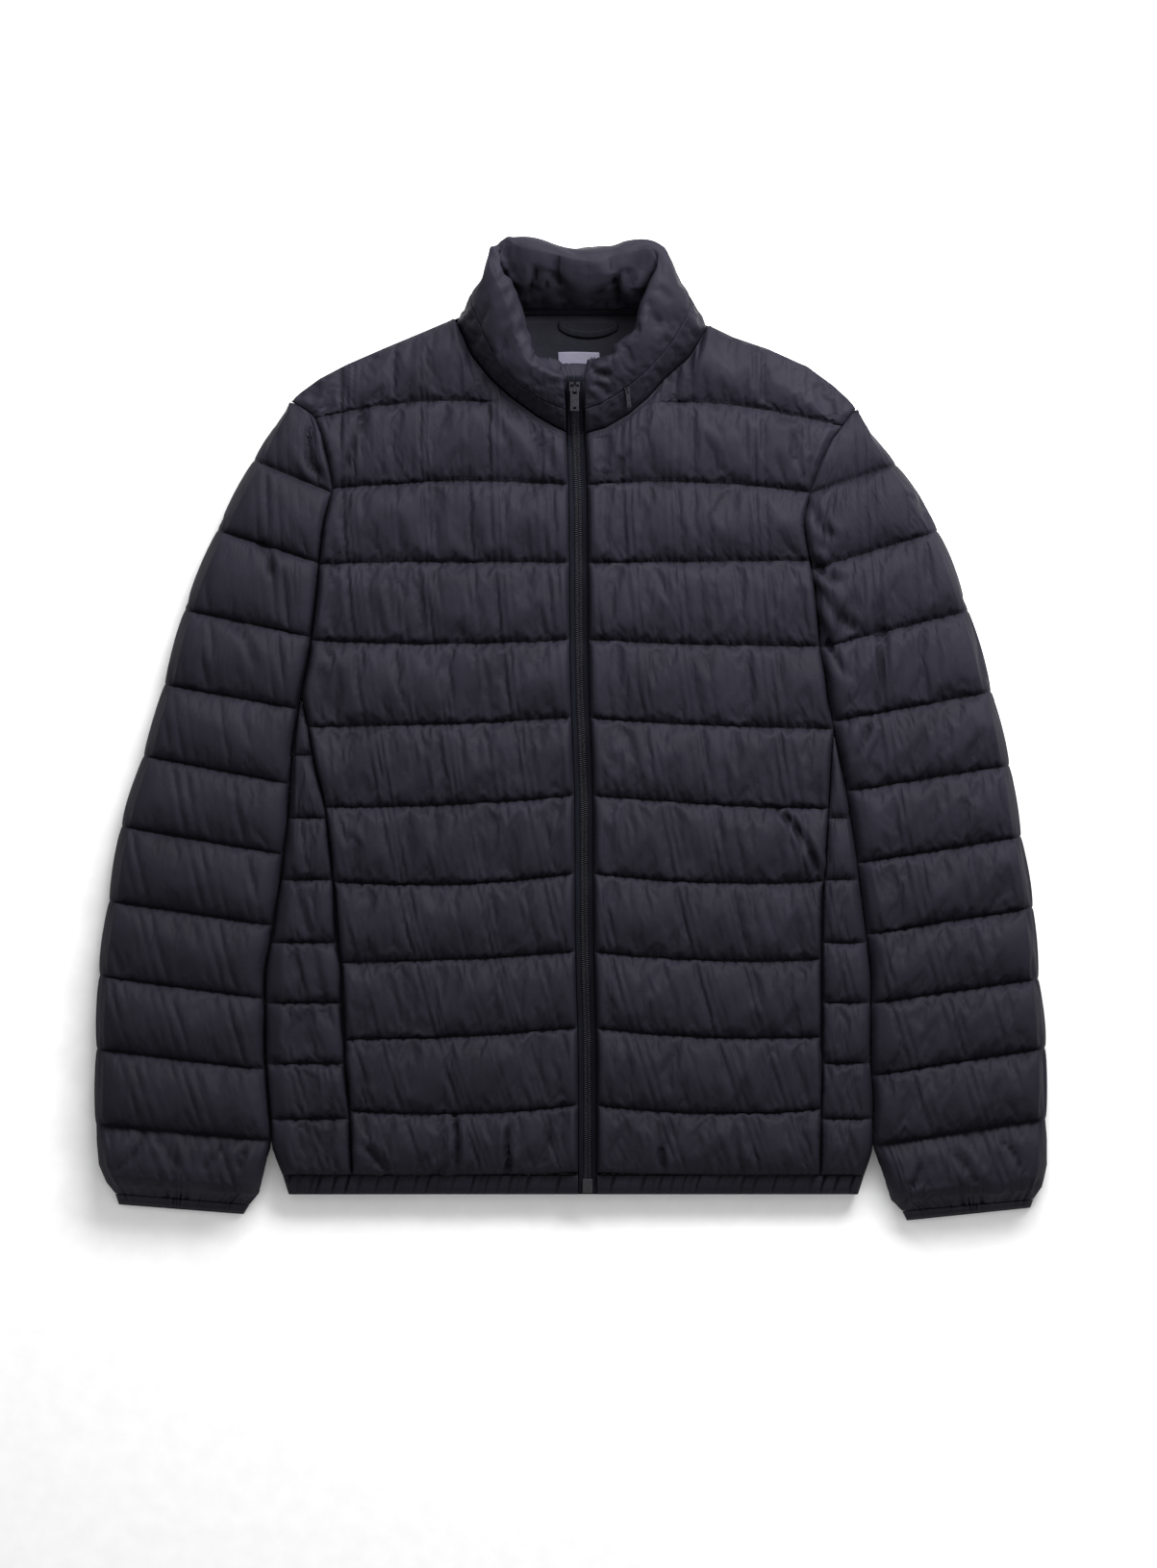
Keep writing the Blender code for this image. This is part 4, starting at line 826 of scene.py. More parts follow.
def collar_skins():
    """Rings of the lower band and of the roll at every station."""
    low = np.linspace(0, BAND_SHARE, 12)
    high = np.linspace(BAND_SHARE, 0.97, 9)
    wall, normal, up, half, inner_half, outward = collar_frames([*low, *high, 1.0])
    out = wall + normal * half[..., None]
    inn = wall - normal * inner_half[..., None]
    core = wall + normal * 0.15 * half[..., None]
    flat = outward * COLLAR_FOOT_HALF
    drop = np.array([0, 0, FRONT_UNDER + 0.1 - COLLAR_FOOT_TOP])
    foot = np.stack([wall[:, 0] + flat, wall[:, 0] + flat + drop, wall[:, 0] - flat + drop,
                     wall[:, 0] - flat], 1)
    join = [blend(core[:, 11], out[:, 11], s) for s in (0.25, 0.5, 0.75)]
    band = np.concatenate([out[:, 11:0:-1], foot, core[:, 1:12], np.stack(join, 1)], 1)
    around = np.gradient(wall[:, 12], axis=0)
    lift = np.cross(inn[:, 12] - out[:, 12], around)
    lift *= (BAND_GAP / np.linalg.norm(lift, axis=1))[:, None]
    rise = up[:, -1] / np.linalg.norm(up[:, -1], axis=1)[:, None]
    rim = []
    for turn in np.radians(np.linspace(15, 165, 13)):
        radius = (half if math.cos(turn) > 0 else inner_half)[:, -1:]
        rim.append(wall[:, -1] + math.cos(turn) * radius * normal[:, -1]
                   + math.sin(turn) * half[:, -1:] * rise)
    outer = out[:, 12:20].copy()
    outer[:, 0] += lift
    inner = inn[:, (19, 18, 17, 16, 15, 14, 13, 12, 10, 8, 6, 4, 2)]
    between = core - 0.15 * (core - inn)
    closing = [between[:, k] for k in (3, 6, 9, 11)]
    closing += [blend(between[:, 12] + lift, outer[:, 0], s) for s in (0.2, 0.6)]
    roll = np.concatenate([outer, np.stack(rim, 1), inner, np.stack(closing, 1)], 1)
    return band, roll


collar_band, collar_roll = collar_skins()
held_band = np.ones(collar_band.shape[:2], bool)
held_band[2:-2, 1:10] = False
held_roll = np.zeros(collar_roll.shape[:2], bool)
held_roll[:2] = held_roll[-2:] = True
held_roll[:, 0] = held_roll[:, 33:] = True
for name, skin, held in (("collar_band", collar_band, held_band),
                         ("collar_roll", collar_roll, held_roll)):
    lay_cloth(name, skin, held, most=3.6, gather=(1.06, 1.06, 1.0), ring=True, pressure=3.0)
print("collar", collar_band.shape, collar_roll.shape)

# %% Blow all the cloths up
blow_up()

# %% [markdown]
# ## From a coarse grid to finished cloth
# The simulated grid is coarse across its folds, so it gets twice the columns, rounded through the
# old points. Then come the folds that a simulation can't know: the fine puckers that the thread
# draws at every seam, and the main creases, placed one by one. A much finer simulation might find
# them too, but it would take far longer, and one couldn't choose where they fall.


# %% Finer grids, normals and small folds
def finer_rows(skin):
    """Twice as many rows, rounded through the old ones."""
    first, second = skin[:-1], skin[1:]
    before = np.concatenate([2 * skin[:1] - skin[1:2], skin[:-2]])
    after = np.concatenate([skin[2:], 2 * skin[-1:] - skin[-2:-1]])
    rows = np.empty((2 * len(skin) - 1, *skin.shape[1:]))
    rows[::2] = skin
    rows[1::2] = (9 * (first + second) - before - after) / 16
    return rows


def finer(skin, ring=False):
    """Twice as many columns."""
    turned = skin.transpose(1, 0, 2)
    if not ring:
        return finer_rows(turned).transpose(1, 0, 2)
    wrapped = np.concatenate([turned[-3:], turned, turned[:3]])
    return finer_rows(wrapped)[6:-6][:2 * len(turned)].transpose(1, 0, 2)


def outward_normals(skin, ring=False):
    """Unit normals of a grid that point out of the piece."""
    wide = np.concatenate([skin[:, -1:], skin, skin[:, :1]], 1) if ring else skin
    across = np.gradient(wide, axis=1)
    across = across[:, 1:-1] if ring else across
    normal = np.cross(across, np.gradient(skin, axis=0))
    normal /= np.linalg.norm(normal, axis=2, keepdims=True) + 1e-12
    return -normal if facing_in(skin, grid_quads(skin.shape, ring), ring) else normal


print("columns of a front:", FRONT_COLUMNS, "->", finer(CLOTHS["front_right"]["skin"]).shape[1])


def along_rows(skin):
    """Distance along each row from its first column."""
    steps = np.linalg.norm(np.diff(skin, axis=1), axis=2)
    return np.concatenate([np.zeros((len(skin), 1)), np.cumsum(steps, 1)], 1)


# %% Puckers along seams and edges
def pucker(skin, seams, depth, spacing, reach, seed, lean):
    """Height of the small folds that run away from the given seam rows."""
    folds = np.zeros(skin.shape[:2])
    s = along_rows(skin)
    for number, (a, b) in enumerate(zip(seams, seams[1:])):
        rows = slice(a, b + 1)
        for seam, kept in ((a, 0), (b, 1)):
            away = np.linalg.norm(skin[rows] - skin[seam][None], axis=2)
            fade = (1 - np.exp(-away / 0.9)) * np.exp(-(away / reach) ** 1.4)
            wave = ripple(s[rows] + lean * away, spacing, seed + 2 * number + kept)
            folds[rows] += depth * wave * fade
    return folds


def edge_pucker(skin, first, depth, spacing, reach, seed):
    """Height of the small folds that run in from a sewn edge, at the first or the last column."""
    edge = skin[:, :1] if first else skin[:, -1:]
    along_edge = along_rows(edge.transpose(1, 0, 2))[0][:, None]
    away = np.linalg.norm(skin - edge, axis=2)
    fade = (1 - np.exp(-away / 1.2)) * np.exp(-(away / reach) ** 1.3)
    return depth * fade * ripple(along_edge + 0.3 * away, spacing, seed)


# %% Creases, and the depth of folds
def press(skin, folds, ring=False):
    """Move a skin out along its normals by the given heights."""
    return skin + outward_normals(skin, ring) * folds[..., None]


def creases(skin, lines):
    """Depth of troughs with a small ridge on each side, along lines in plan."""
    folds = np.zeros(skin.shape[:2])
    for x0, y0, x1, y1, bow, depth, width in zip(*lines.values()):
        start, end = np.array([x0, y0]), np.array([x1, y1])
        along = end - start
        length = np.linalg.norm(along)
        along = along / length
        offset = skin[..., :2] - start
        t = (offset @ along) / length
        side = offset @ np.array([-along[1], along[0]]) - bow * 4 * t * (1 - t)
        fade = ease((t + 0.06) / 0.3) * ease((1.06 - t) / 0.3)
        q = side / (width + 1.0)
        folds += fade * depth * (0.45 * np.exp(-((np.abs(q) - 1.9) / 0.9) ** 2) - np.exp(-q * q))
    return folds


# These valleys are darkened as painted shade by the cloth materials.
def valleys(skin, ring=False):
    """How far each point lies below its neighbours, in millimetres; below 0 on a ridge."""
    normal = outward_normals(skin, ring)
    wide = np.concatenate([skin[:, -4:], skin, skin[:, :4]], 1) if ring else np.pad(
        skin, ((0, 0), (4, 4), (0, 0)), "edge")
    tall = np.pad(skin, ((1, 1), (0, 0), (0, 0)), "edge")
    count = skin.shape[1]
    near, far = ((wide[:, 4 - k:4 - k + count] + wide[:, 4 + k:4 + k + count]) / 2 - skin
                 for k in (1, 3))
    across = np.pad(((near + 0.3 * far) * normal).sum(2), ((2, 2), (0, 0)), "edge")
    across = sum(w * across[k:k + len(skin)] for k, w in enumerate((0.1, 0.2, 0.4, 0.2, 0.1)))
    above = (tall[:-2] + tall[2:]) / 2 - skin
    return across + (above * normal).sum(2)


# %% Closed pieces
def bridge(first, second, first_at, second_at):
    """Faces between two chains of point numbers with unequal counts, matched by their shares."""
    faces = []
    i = j = 0
    while i < len(first) - 1 or j < len(second) - 1:
        next_i = first_at[i + 1] if i < len(first) - 1 else 9.0
        next_j = second_at[j + 1] if j < len(second) - 1 else 9.0
        if abs(next_i - next_j) < 1e-6:
            faces.append((first[i], first[i + 1], second[j + 1], second[j]))
            i, j = i + 1, j + 1
        elif next_i < next_j:
            faces.append((first[i], first[i + 1], second[j]))
            i += 1
        else:
            faces.append((first[i], second[j + 1], second[j]))
            j += 1
    return faces


def edge_shares(chain, fold=None, turn=None):
    """Shares along an edge: by length, or by distance from the place where the cloth turns over."""
    if fold is None:
        length = np.concatenate([[0], np.cumsum(np.linalg.norm(np.diff(chain, axis=0), axis=1))])
        return length / length[-1]
    reach = np.linalg.norm(chain[:, :2] - turn[:2], axis=1)
    reach = 0.5 * reach / max(reach[0], reach[-1])
    share = np.where(np.arange(len(chain)) < fold, 0.5 - reach, 0.5 + reach)
    share[[0, fold, -1]] = (0, 0.5, 1)
    return share


# %% Mesh objects from points
def make_piece(name, points, faces, material, fold=()):
    """Mesh object with outward faces, placed by its points in millimetres."""
    mesh = bpy.data.meshes.new(name)
    mesh.from_pydata((np.asarray(points) * MM).tolist(), [], [tuple(map(int, f)) for f in faces])
    work = bmesh.new()
    work.from_mesh(mesh)
    bmesh.ops.recalc_face_normals(work, faces=work.faces)
    work.to_mesh(mesh)
    work.free()
    mesh.shade_smooth()
    mesh.materials.append(material)
    # The fold values become an attribute that the cloth materials turn into painted shade.
    values = np.zeros(len(mesh.vertices))
    values[:len(fold)] = fold
    mesh.attributes.new("fold", "FLOAT", "POINT").data.foreach_set("value", values)
    piece = bpy.data.objects.new(name, mesh)
    bpy.context.scene.collection.objects.link(piece)
    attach(piece, "jacket")
    return piece


def closed_wall(name, skin, inner, material, folds=(None, None), deep=0.0):
    """Skin and plain inside sewn shut all round.

    Where the piece goes round a fold, folds gives the column at the fold in each. The skin's own
    valleys, plus the extra painted shade given in deep, are stored as the fold attribute, which
    paints shade on the cloth.
    """
    points = np.concatenate([skin.reshape(-1, 3), inner.reshape(-1, 3)])
    out = np.arange(skin.shape[0] * skin.shape[1]).reshape(skin.shape[:2])
    inn = out.size + np.arange(inner.shape[0] * inner.shape[1]).reshape(inner.shape[:2])
    faces = [*grid_quads(skin.shape), *(grid_quads(inner.shape) + out.size)[:, ::-1]]
    for end in (0, -1):
        turn = None if folds[0] is None else skin[end][folds[0]]
        faces += bridge(out[end], inn[end], edge_shares(skin[end], folds[0], turn),
                        edge_shares(inner[end], folds[1], turn))
        faces += bridge(out[:, end], inn[:, end], edge_shares(skin[:, end]),
                        edge_shares(inner[:, end]))
    return make_piece(name, points, faces, material, (valleys(skin) + deep).ravel())


def closed_tube(name, rings, material):
    """Solid through closed sections, capped at both ends with a fan round a middle point."""
    count = rings.shape[0] * rings.shape[1]
    numbers = np.arange(count).reshape(rings.shape[:2])
    points = np.concatenate([rings.reshape(-1, 3), [rings[0].mean(0), rings[-1].mean(0)]])
    faces = list(grid_quads(rings.shape, ring=True))
    for ring, middle in ((numbers[0], count), (numbers[-1], count + 1)):
        faces += [(ring[k], ring[(k + 1) % len(ring)], middle) for k in range(len(ring))]
    # Its valleys are stored for painted shade as well.
    return make_piece(name, points, faces, material, valleys(rings, True).ravel())

# %% The cloths and the hard parts
NYLON = cloth_material("downproof nylon taffeta", "18171e", "1e1d25", 0.6, 0.25, 0.25,
                       Specular_IOR_Level=0.06)
BINDING = cloth_material("elastic nylon binding", "14141b", "1a1a22", 0.6, 0.25, 0.4,
                         Specular_IOR_Level=0.12)
# Lining and hanger loop: dark taffeta, its colour darkened further as painted shade of the collar
# over the neck.
SHADED_LINING = cloth_material("plain lining taffeta", "111117", "16151c", 0.6, 0.3, 0.2,
                        Specular_IOR_Level=0.05)
TAPE = cloth_material("woven polyester zip tape", "101016", "14141b", 0.8, 0.1, 0.6,
                      Specular_IOR_Level=0.03)
# The label's grey is partly its own and partly painted shade of the collar over it.
SHADED_LABEL = cloth_material("blank woven satin label", "545260", "5e5c69", 0.5, 0.2, 0.3,
                       Specular_IOR_Level=0.2)
THREAD = solid_material("polyester sewing thread", "181820", "22222c", 0.6, 900.0,
                        Specular_IOR_Level=0.15)
COIL = solid_material("nylon zip coil", "15151b", "1c1c22", 0.35, 700.0, Specular_IOR_Level=0.12)
METAL = solid_material("black nickel plated zinc", "45454c", "54545c", 0.25, 500.0, Metallic=1.0)
PLASTIC = solid_material("moulded acetal", "19191d", "202024", 0.4, 400.0,
                         Specular_IOR_Level=0.3)
print("materials:", [m.name for m in bpy.data.materials if m.name[0].islower()][:9])

# %% [markdown]
# ## The quilted pieces
# Each simulated skin gets its puckers and creases and is closed over a plain inside. A solidify
# modifier would push every fold through to the inside, where a real lining lies smooth.

# %% Fronts
SKINS = {}
PUCKER_SEEDS = {"front_right": 11, "front_left": 47, "side_right": 83, "side_left": 131,
                "sleeve_right": 211, "sleeve_left": 307}
FRONT_CREASES = {
    "right": table("x0 y0 x1 y1 bow depth width",
                   (-172, 264, -192, 198, 3, 2.2, 3.4),
                   (-66, 262, -16, 200, 5, 1.2, 3.6), (-84, 266, -44, 200, 4, 1.0, 3.6),
                   (-100, -302, -98, -352, 1, 3.6, 2.0),
                   (-56, -308, -57, -353, -1, 3.4, 2.0), (-178, -326, -150, -356, 3, 1.6, 2.6),
                   (-100, -334, -118, -353, 3, 2.2, 2.4), (-24, -306, -30, -350, 2, 1.6, 2.2)),
    "left": table("x0 y0 x1 y1 bow depth width",
                  (153, -58, 192, -121, 6, 3.2, 2.2), (188, 240, 176, 198, 2, 1.6, 3.4),
                  (172, 244, 168, 200, 2, 1.2, 3.4), (66, 264, 28, 200, -4, 1.1, 3.6),
                  (60, -304, 66, -352, 1, 1.8, 2.2), (124, -306, 130, -352, -2, 2.0, 2.4))}


def stand_for(piece, node):
    """Hide the node in the frame that a finished piece stands in for."""
    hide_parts(node)
    print(piece.name, "for", node + ":", len(piece.data.polygons), "faces")


def finished(name, seams, lines=None):
    """A simulated skin with its puckers and creases, and painted shade for the creases, from how
    deep they are.
    """
    skin, seed = finer(CLOTHS[name]["skin"]), PUCKER_SEEDS[name]
    folds = pucker(skin, seams, depth=0.6, spacing=5.2, reach=6.0, seed=seed, lean=0.1)
    folds += edge_pucker(skin, first=True, depth=0.9, spacing=6.5, reach=8.0, seed=seed + 1)
    folds += edge_pucker(skin, first=False, depth=1.2, spacing=9.0, reach=13.0, seed=seed + 2)
    listed_creases = creases(skin, lines) if lines else 0.0 * folds
    skin = press(skin, (folds + listed_creases) * ease((skin[..., 2] - 6) / 8))
    skin[..., 2] = np.maximum(skin[..., 2], 0.0)
    SKINS[name] = skin
    # The second value is painted shade in the creases' troughs.
    return skin, -0.35 * np.minimum(listed_creases, 0.0)


for side in SIDES:
    name = "front_" + side
    skin, deep = finished(name, SEAM_ROWS, FRONT_CREASES[side])
    inner = skin[::CHANNEL_ROWS // 2, ::4].copy()
    inner[..., 2] = FRONT_UNDER
    stand_for(closed_wall(name + "_quilted", skin, inner, NYLON, deep=deep), name)

# %% Side panels
for side in SIDES:
    name = "side_" + side
    seams = list(range(0, len(CLOTHS[name]["skin"]), SIDE_ROWS))
    skin, _ = finished(name, seams)
    inner = []
    for row in skin[::SIDE_ROWS // 2]:
        y = row[0, 1]
        x_fold = float(body_edge(side, y))
        under, top = abs(x_fold - row[0, 0]), abs(x_fold - row[-1, 0])
        tip = 0.55 * min(17.0, top, under)
        chain = [(under, BACK_TOP), (tip + 0.2 * min(7.0, under), BACK_TOP),
                 (tip, 0.5 * (BACK_TOP + FRONT_UNDER)),
                 (tip + 0.2 * min(7.0, top), FRONT_UNDER), (top, FRONT_UNDER)]
        inner.append([(x_fold - sign(side) * d, y, z) for d, z in chain])
    fold = int(np.argmin(np.where(skin[0, :, 2] < 14, sign(side) * -skin[0, :, 0], 999)))
    stand_for(closed_wall(name + "_quilted", skin, np.array(inner), NYLON, (fold, 2)), name)

# %% Sleeves
SLEEVE_CREASES = {
    "right": table("x0 y0 x1 y1 bow depth width",
                   (-256, 152, -246, 120, 3, 2.2, 3.0), (-278, 90, -258, 48, 3, 1.4, 3.0),
                   (-216, 244, -204, 196, -4, 3.0, 3.0), (-224, 236, -208, 204, -4, 1.6, 2.6),
                   (-346, -316, -372, -352, 3, 2.0, 3.0), (-338, -320, -320, -352, 3, 2.2, 3.0),
                   (-300, -352, -280, -326, 3, 2.4, 3.0), (-272, -350, -264, -330, 2, 2.0, 2.6)),
    "left": table("x0 y0 x1 y1 bow depth width",
                  (182, 140, 210, 118, -4, 3.0, 3.5), (186, 122, 223, 78, -5, 3.0, 4.0),
                  (233, 118, 236, 16, 5, 2.6, 4.0), (231, 12, 216, -24, 2, 2.4, 3.5),
                  (182, 186, 204, 152, -4, 2.4, 3.0), (190, 100, 214, 40, -5, 2.2, 3.0),
                  (292, -330, 318, -366, 3, 2.2, 3.0), (334, -322, 352, -352, 3, 2.4, 3.0),
                  (270, -340, 262, -366, 2, 2.0, 2.6))}
for side in SIDES:
    name = "sleeve_" + side
    skin, deep = finished(name, SEAM_ROWS, SLEEVE_CREASES[side])
    inner = []
    for outer_end, inner_end, _, closed, flat, _ in sleeve_rows(side)[::CHANNEL_ROWS // 2]:
        width = math.dist(outer_end, inner_end)
        inner.append(placed(inner_chain(width, closed), outer_end, inner_end, flat))
    # Painted shade: the valleys of the gathers near the cuff are darkened more.
    at_cuff = ease((np.arange(len(skin)) - len(skin) + 13) / 10.0)[:, None]
    deep += 1.6 * at_cuff * np.maximum(valleys(skin, True), 0)
    piece = closed_wall(name + "_quilted", skin, np.array(inner), NYLON, (2 * OUTER_FOLD, 3), deep)
    stand_for(piece, name)

# %% Collar
COLLAR_CREASES = table(
    "x0 y0 x1 y1 bow depth width",
    (-34, 368, -45, 341, 3, 3.5, 2.6), (-17, 378, -14, 350, -3, 4.0, 2.4),
    (-24, 366, -30, 346, 2, 2.5, 2.2), (28, 360, 38, 334, -3, 3.5, 2.4),
    (38, 366, 40, 344, 2, 2.2, 2.2), (4, 372, 8, 352, 2, 1.4, 2.2),
    (-70, 388, -58, 372, 2, 2.4, 1.8), (-64, 390, -55, 378, 1, 2.0, 1.6),
    (-58, 366, -66, 352, 2, 1.8, 2.2), (-56, 350, -68, 338, 2, 1.6, 2.2),
    (-50, 334, -62, 322, 2, 1.6, 2.2), (-44, 320, -56, 306, 2, 1.4, 2.2),
    (8, 294, 30, 300, 3, 2.6, 2.2), (8, 285, 28, 283, -2, 2.8, 2.2),
    (9, 276, 24, 264, 2, 2.2, 2.0), (18, 304, 27, 311, 1, 2.0, 1.8),
    (-9, 284, -24, 292, 2, 1.8, 2.0), (-10, 276, -26, 272, -2, 1.6, 2.0),
    (60, 350, 72, 338, 2, 1.2, 2.4), (52, 330, 66, 316, 2, 1.2, 2.4))


def gathered_ends(skin):
    """Bring the roll's inside forward in soft crumples where the zip's end gathers it."""
    reach = np.linalg.norm(np.diff(skin.mean(1), axis=0), axis=1)
    s = np.concatenate([[0], np.cumsum(reach)])
    near = np.minimum(s, s[-1] - s)
    forward = 7.0 * ease((34 - near) / 26) * ease(near / 3) * (1 + 0.35 * ripple(s, 4.5, 2))
    share = np.interp(np.arange(skin.shape[1]), (26, 36, 56, 66), (0, 1, 1, 0))
    crumple = 0.8 * ripple(s[:, None] + 0.25 * np.arange(skin.shape[1]), 5.0, 6)
    skin[..., 1] += forward[:, None] * share
    return skin, crumple * ease((44 - near) / 20)[:, None] * share


for name in ("collar_band", "collar_roll"):
    skin = finer(CLOTHS[name]["skin"], ring=True)
    folds = 0.0
    if name == "collar_roll":
        skin, folds = gathered_ends(skin)
    skin = press(skin, folds + creases(skin, COLLAR_CREASES), ring=True)
    stand_for(closed_tube(name + "_padded", skin, NYLON), name)

# %% [markdown]
# ## Back
# The jacket lies on its back, so that layer is pressed flat. Its underside rests on the floor and
# shows its quilting only as shallow grooves, where the thread pulls the cloth in. Cloth that is
# pressed flat has no large folds to find, so a formula does here and no simulation is needed.


# %% Skin of the back
BACK_COLUMNS = 97
ROW_SPREAD = (0, 0.012, 0.03, 0.055, 0.1, 0.2, 0.35, 0.5, 0.65, 0.8, 0.9, 0.945, 0.97, 0.988)
FREE_EDGE = ((0.7, BACK_TOP), (0.0, 8.0), (0.9, 3.2), (2.2, 1.0), (4.0, 0.0))
SEWN_EDGE = ((0.0, BACK_TOP), (0.0, 8.0), (0.2, 2.0), (0.8, 0.5), (2.0, 0.0))
UNDER_COLLAR = ((90, 326), (79, 338), (62, 342.5), (30, 343.5))   # the back's edge, x and y
SHOULDER_FROM = 95.0     # further out than this the back's edge is the shoulder


def back_edge(side, y):
    """Side edge of the back: the armhole, and below it the seam to the side panel."""
    s = sign(side)
    top = np.abs(body_edge(side, y) - front_edge(side, y)) - SEW_GAP
    panel = body_edge(side, y) - s * (np.maximum(6.0, top * SIDE_UNDER[side]) + SEW_GAP)
    start, end = SIDE_TOP[side], SIDE_TOP[side] + 7.0
    corner = blend(body_edge(side, start), front_edge(side, end), (y - start) / 7.0)
    return np.where(y <= start, panel, np.where(y < end, corner, front_edge(side, y)))


def back_skin():
    """Points of the back's underside with its turned-up edges, and the distance to a seam."""
    u = np.linspace(0, 1, BACK_COLUMNS)[None]
    slope = [(x, y) for side in SIDES for x, y in zip(TOP[side]["x"], TOP[side]["y"])
             if abs(x) > SHOULDER_FROM]
    slope += [(sign(side) * x, y) for side in SIDES for x, y in UNDER_COLLAR]
    slope = np.array(sorted(slope))
    tips = slope[0, 0], slope[-1, 0]
    top_x = blend(tips[0], tips[1], u)
    top_y = np.interp(top_x, slope[:, 0], slope[:, 1])
    seams = (FRONT_LINES["right_side"] + FRONT_LINES["left_side"]) / 2
    seams = np.concatenate([[318.0, 282.0], seams])
    heights = np.concatenate([a + (b - a) * np.array(ROW_SPREAD) for a, b in zip(seams, seams[1:])])
    heights = np.append(heights, seams[-1])[:, None]
    y = np.minimum(heights, top_y - 4.0)
    high = len(ROW_SPREAD) * 2
    y[:high] = blend(top_y - 4.0, y[high], np.linspace(0, 1, high, endpoint=False)[:, None])
    edge_rows = [top_y - inset for inset, _ in FREE_EDGE[:-1]]
    y = np.vstack([*edge_rows, y])
    rise = np.array([z for _, z in FREE_EDGE[:-1]] + [0.0] * len(heights))[:, None]
    turn_y = 250.0
    turned = np.minimum(y, turn_y)
    low_x = blend(back_edge("right", turned), back_edge("left", turned), u)
    x = blend(low_x, top_x, np.clip((y - turn_y) / (top_y - turn_y), 0, 1))
    inset = np.array([i for i, _ in SEWN_EDGE])
    up = np.array([z for _, z in SEWN_EDGE])
    right = np.stack([x[:, :1] + inset, y[:, :1] + 0 * inset, np.maximum(rise, up)], -1)
    left = np.stack([x[:, -1:] - inset, y[:, -1:] + 0 * inset, np.maximum(rise, up)], -1)
    middle = np.stack([x, y, rise + 0 * x], -1)[:, 1:-1]
    skin = np.concatenate([right, middle, left[:, ::-1]], 1)
    away = np.abs(skin[..., 1:2] - seams[2:]).min(2)
    return skin, away


back, away = back_skin()
resting = back[..., 2] < 0.01
quilting = 2.6 * np.exp(-(away / 2.6) ** 2)
quilting += np.exp(-(away / 9.0) ** 2) * np.maximum(0, 1.2 * ripple(back[..., 0], 14.0, 5))
margin = np.minimum(np.abs(back[..., 0] - back[:, :1, 0]), np.abs(back[..., 0] - back[:, -1:, 0]))
back[..., 2] += resting * quilting * ease(margin / 6.0)
above = back[::6, ::6].copy()
above[..., 2] = BACK_TOP
stand_for(closed_wall("back_quilted", back, above, NYLON), "back")

# %% [markdown]
# ## Hem and cuffs
# The hem is a casing with elastic at the sides, so its cloth gathers there. The cuffs are narrow
# elastic bindings that gather the whole end of the sleeve. To simulate such narrow gathers the
# grid would have to be far finer, so they are narrow folds set at uneven distances instead.


# %% Hem casing
HEM_TOP_COLUMNS = 240
HEM_ELASTIC = {"right": 92.0, "left": 60.0}   # length of the gathers from the side fold


def tucks(s, spacing, seed, reach):
    """Depth of narrow folds at an uneven spacing, from 0 between them to 1 in the deepest."""
    rng = np.random.default_rng(seed)
    places = np.cumsum(spacing * rng.uniform(0.5, 1.6, int(reach / spacing) + 2))
    sizes, widths = rng.uniform(0.35, 1.0, len(places)), rng.uniform(0.7, 1.5, len(places))
    return sum(size * np.exp(-(np.abs(s - place) / width) ** 1.5)
               for place, size, width in zip(places, sizes, widths))


def hem_row(y, swell):
    """Section of the hem at one height: over the right front, under the back, over the left."""
    halves = []
    for side in SIDES:
        s = sign(side)
        start = float(zip_x(y)) + s * ZIP_HALF
        fold = float(body_edge(side, y))
        q = np.linspace(0, abs(fold - start) - 4.0, HEM_TOP_COLUMNS)
        share = 0.65 + 0.35 * ease((q - q[-1] + HEM_ELASTIC[side]) / 30.0)
        slanted = q - 0.3 * (y - HEM_Y[0]) * s
        wave = 4.4 * share * tucks(slanted, 10.0, 5, 260.0) - 0.8 * ripple(slanted, 5.2, 9)
        z = HEM_LAYER + 2.5 + 7.5 * swell - wave * (0.25 + 0.75 * swell)
        top = list(zip(start + s * q, z))
        low = 1.6 * (1 - swell)
        turn = [top[-1], (fold - s * 1.4, HEM_LAYER + 4.2), (fold, HEM_LAYER),
                (fold - s * 0.4, 5.5), (fold - s * 3.0, 1.4 + low), (fold - s * 9.0, low)]
        halves.append(top[:-1] + [tuple(p) for p in through(turn, (2, 2, 2, 2, 1))] + [turn[-1]])
    return [(x, y, z) for x, z in halves[0] + halves[1][::-1]]


def hem_inside(y):
    """Inside of the hem's section at one height, which is plain."""
    right, left = (float(body_edge(side, y)) for side in SIDES)
    ends = [float(zip_x(y)) + sign(side) * ZIP_HALF for side in SIDES]
    upper, middle = HEM_LAYER + 0.4, HEM_LAYER + 0.2
    chain = [(ends[0], upper), (right + 12.0, upper), (right + 10.5, middle),
             (right + 12.0, HEM_LAYER), (left - 12.0, HEM_LAYER), (left - 10.5, middle),
             (left - 12.0, upper), (ends[1], upper)]
    return [(x, y, z) for x, z in chain]


shares = np.linspace(0, 1, 17)
heights = [float(blend(HEM_Y[0], HEM_Y[1], share)) for share in shares]
swells = blend(0.92, 1.0, rounding(shares, 0.2)) * rounding(1 - shares, 0.8)
hem = np.array([hem_row(y, swell) for y, swell in zip(heights, swells)])
inner = np.array([hem_inside(y) for y in heights[::8]])
stand_for(closed_wall("hem_casing_cloth", hem, inner, NYLON), "hem_casing")

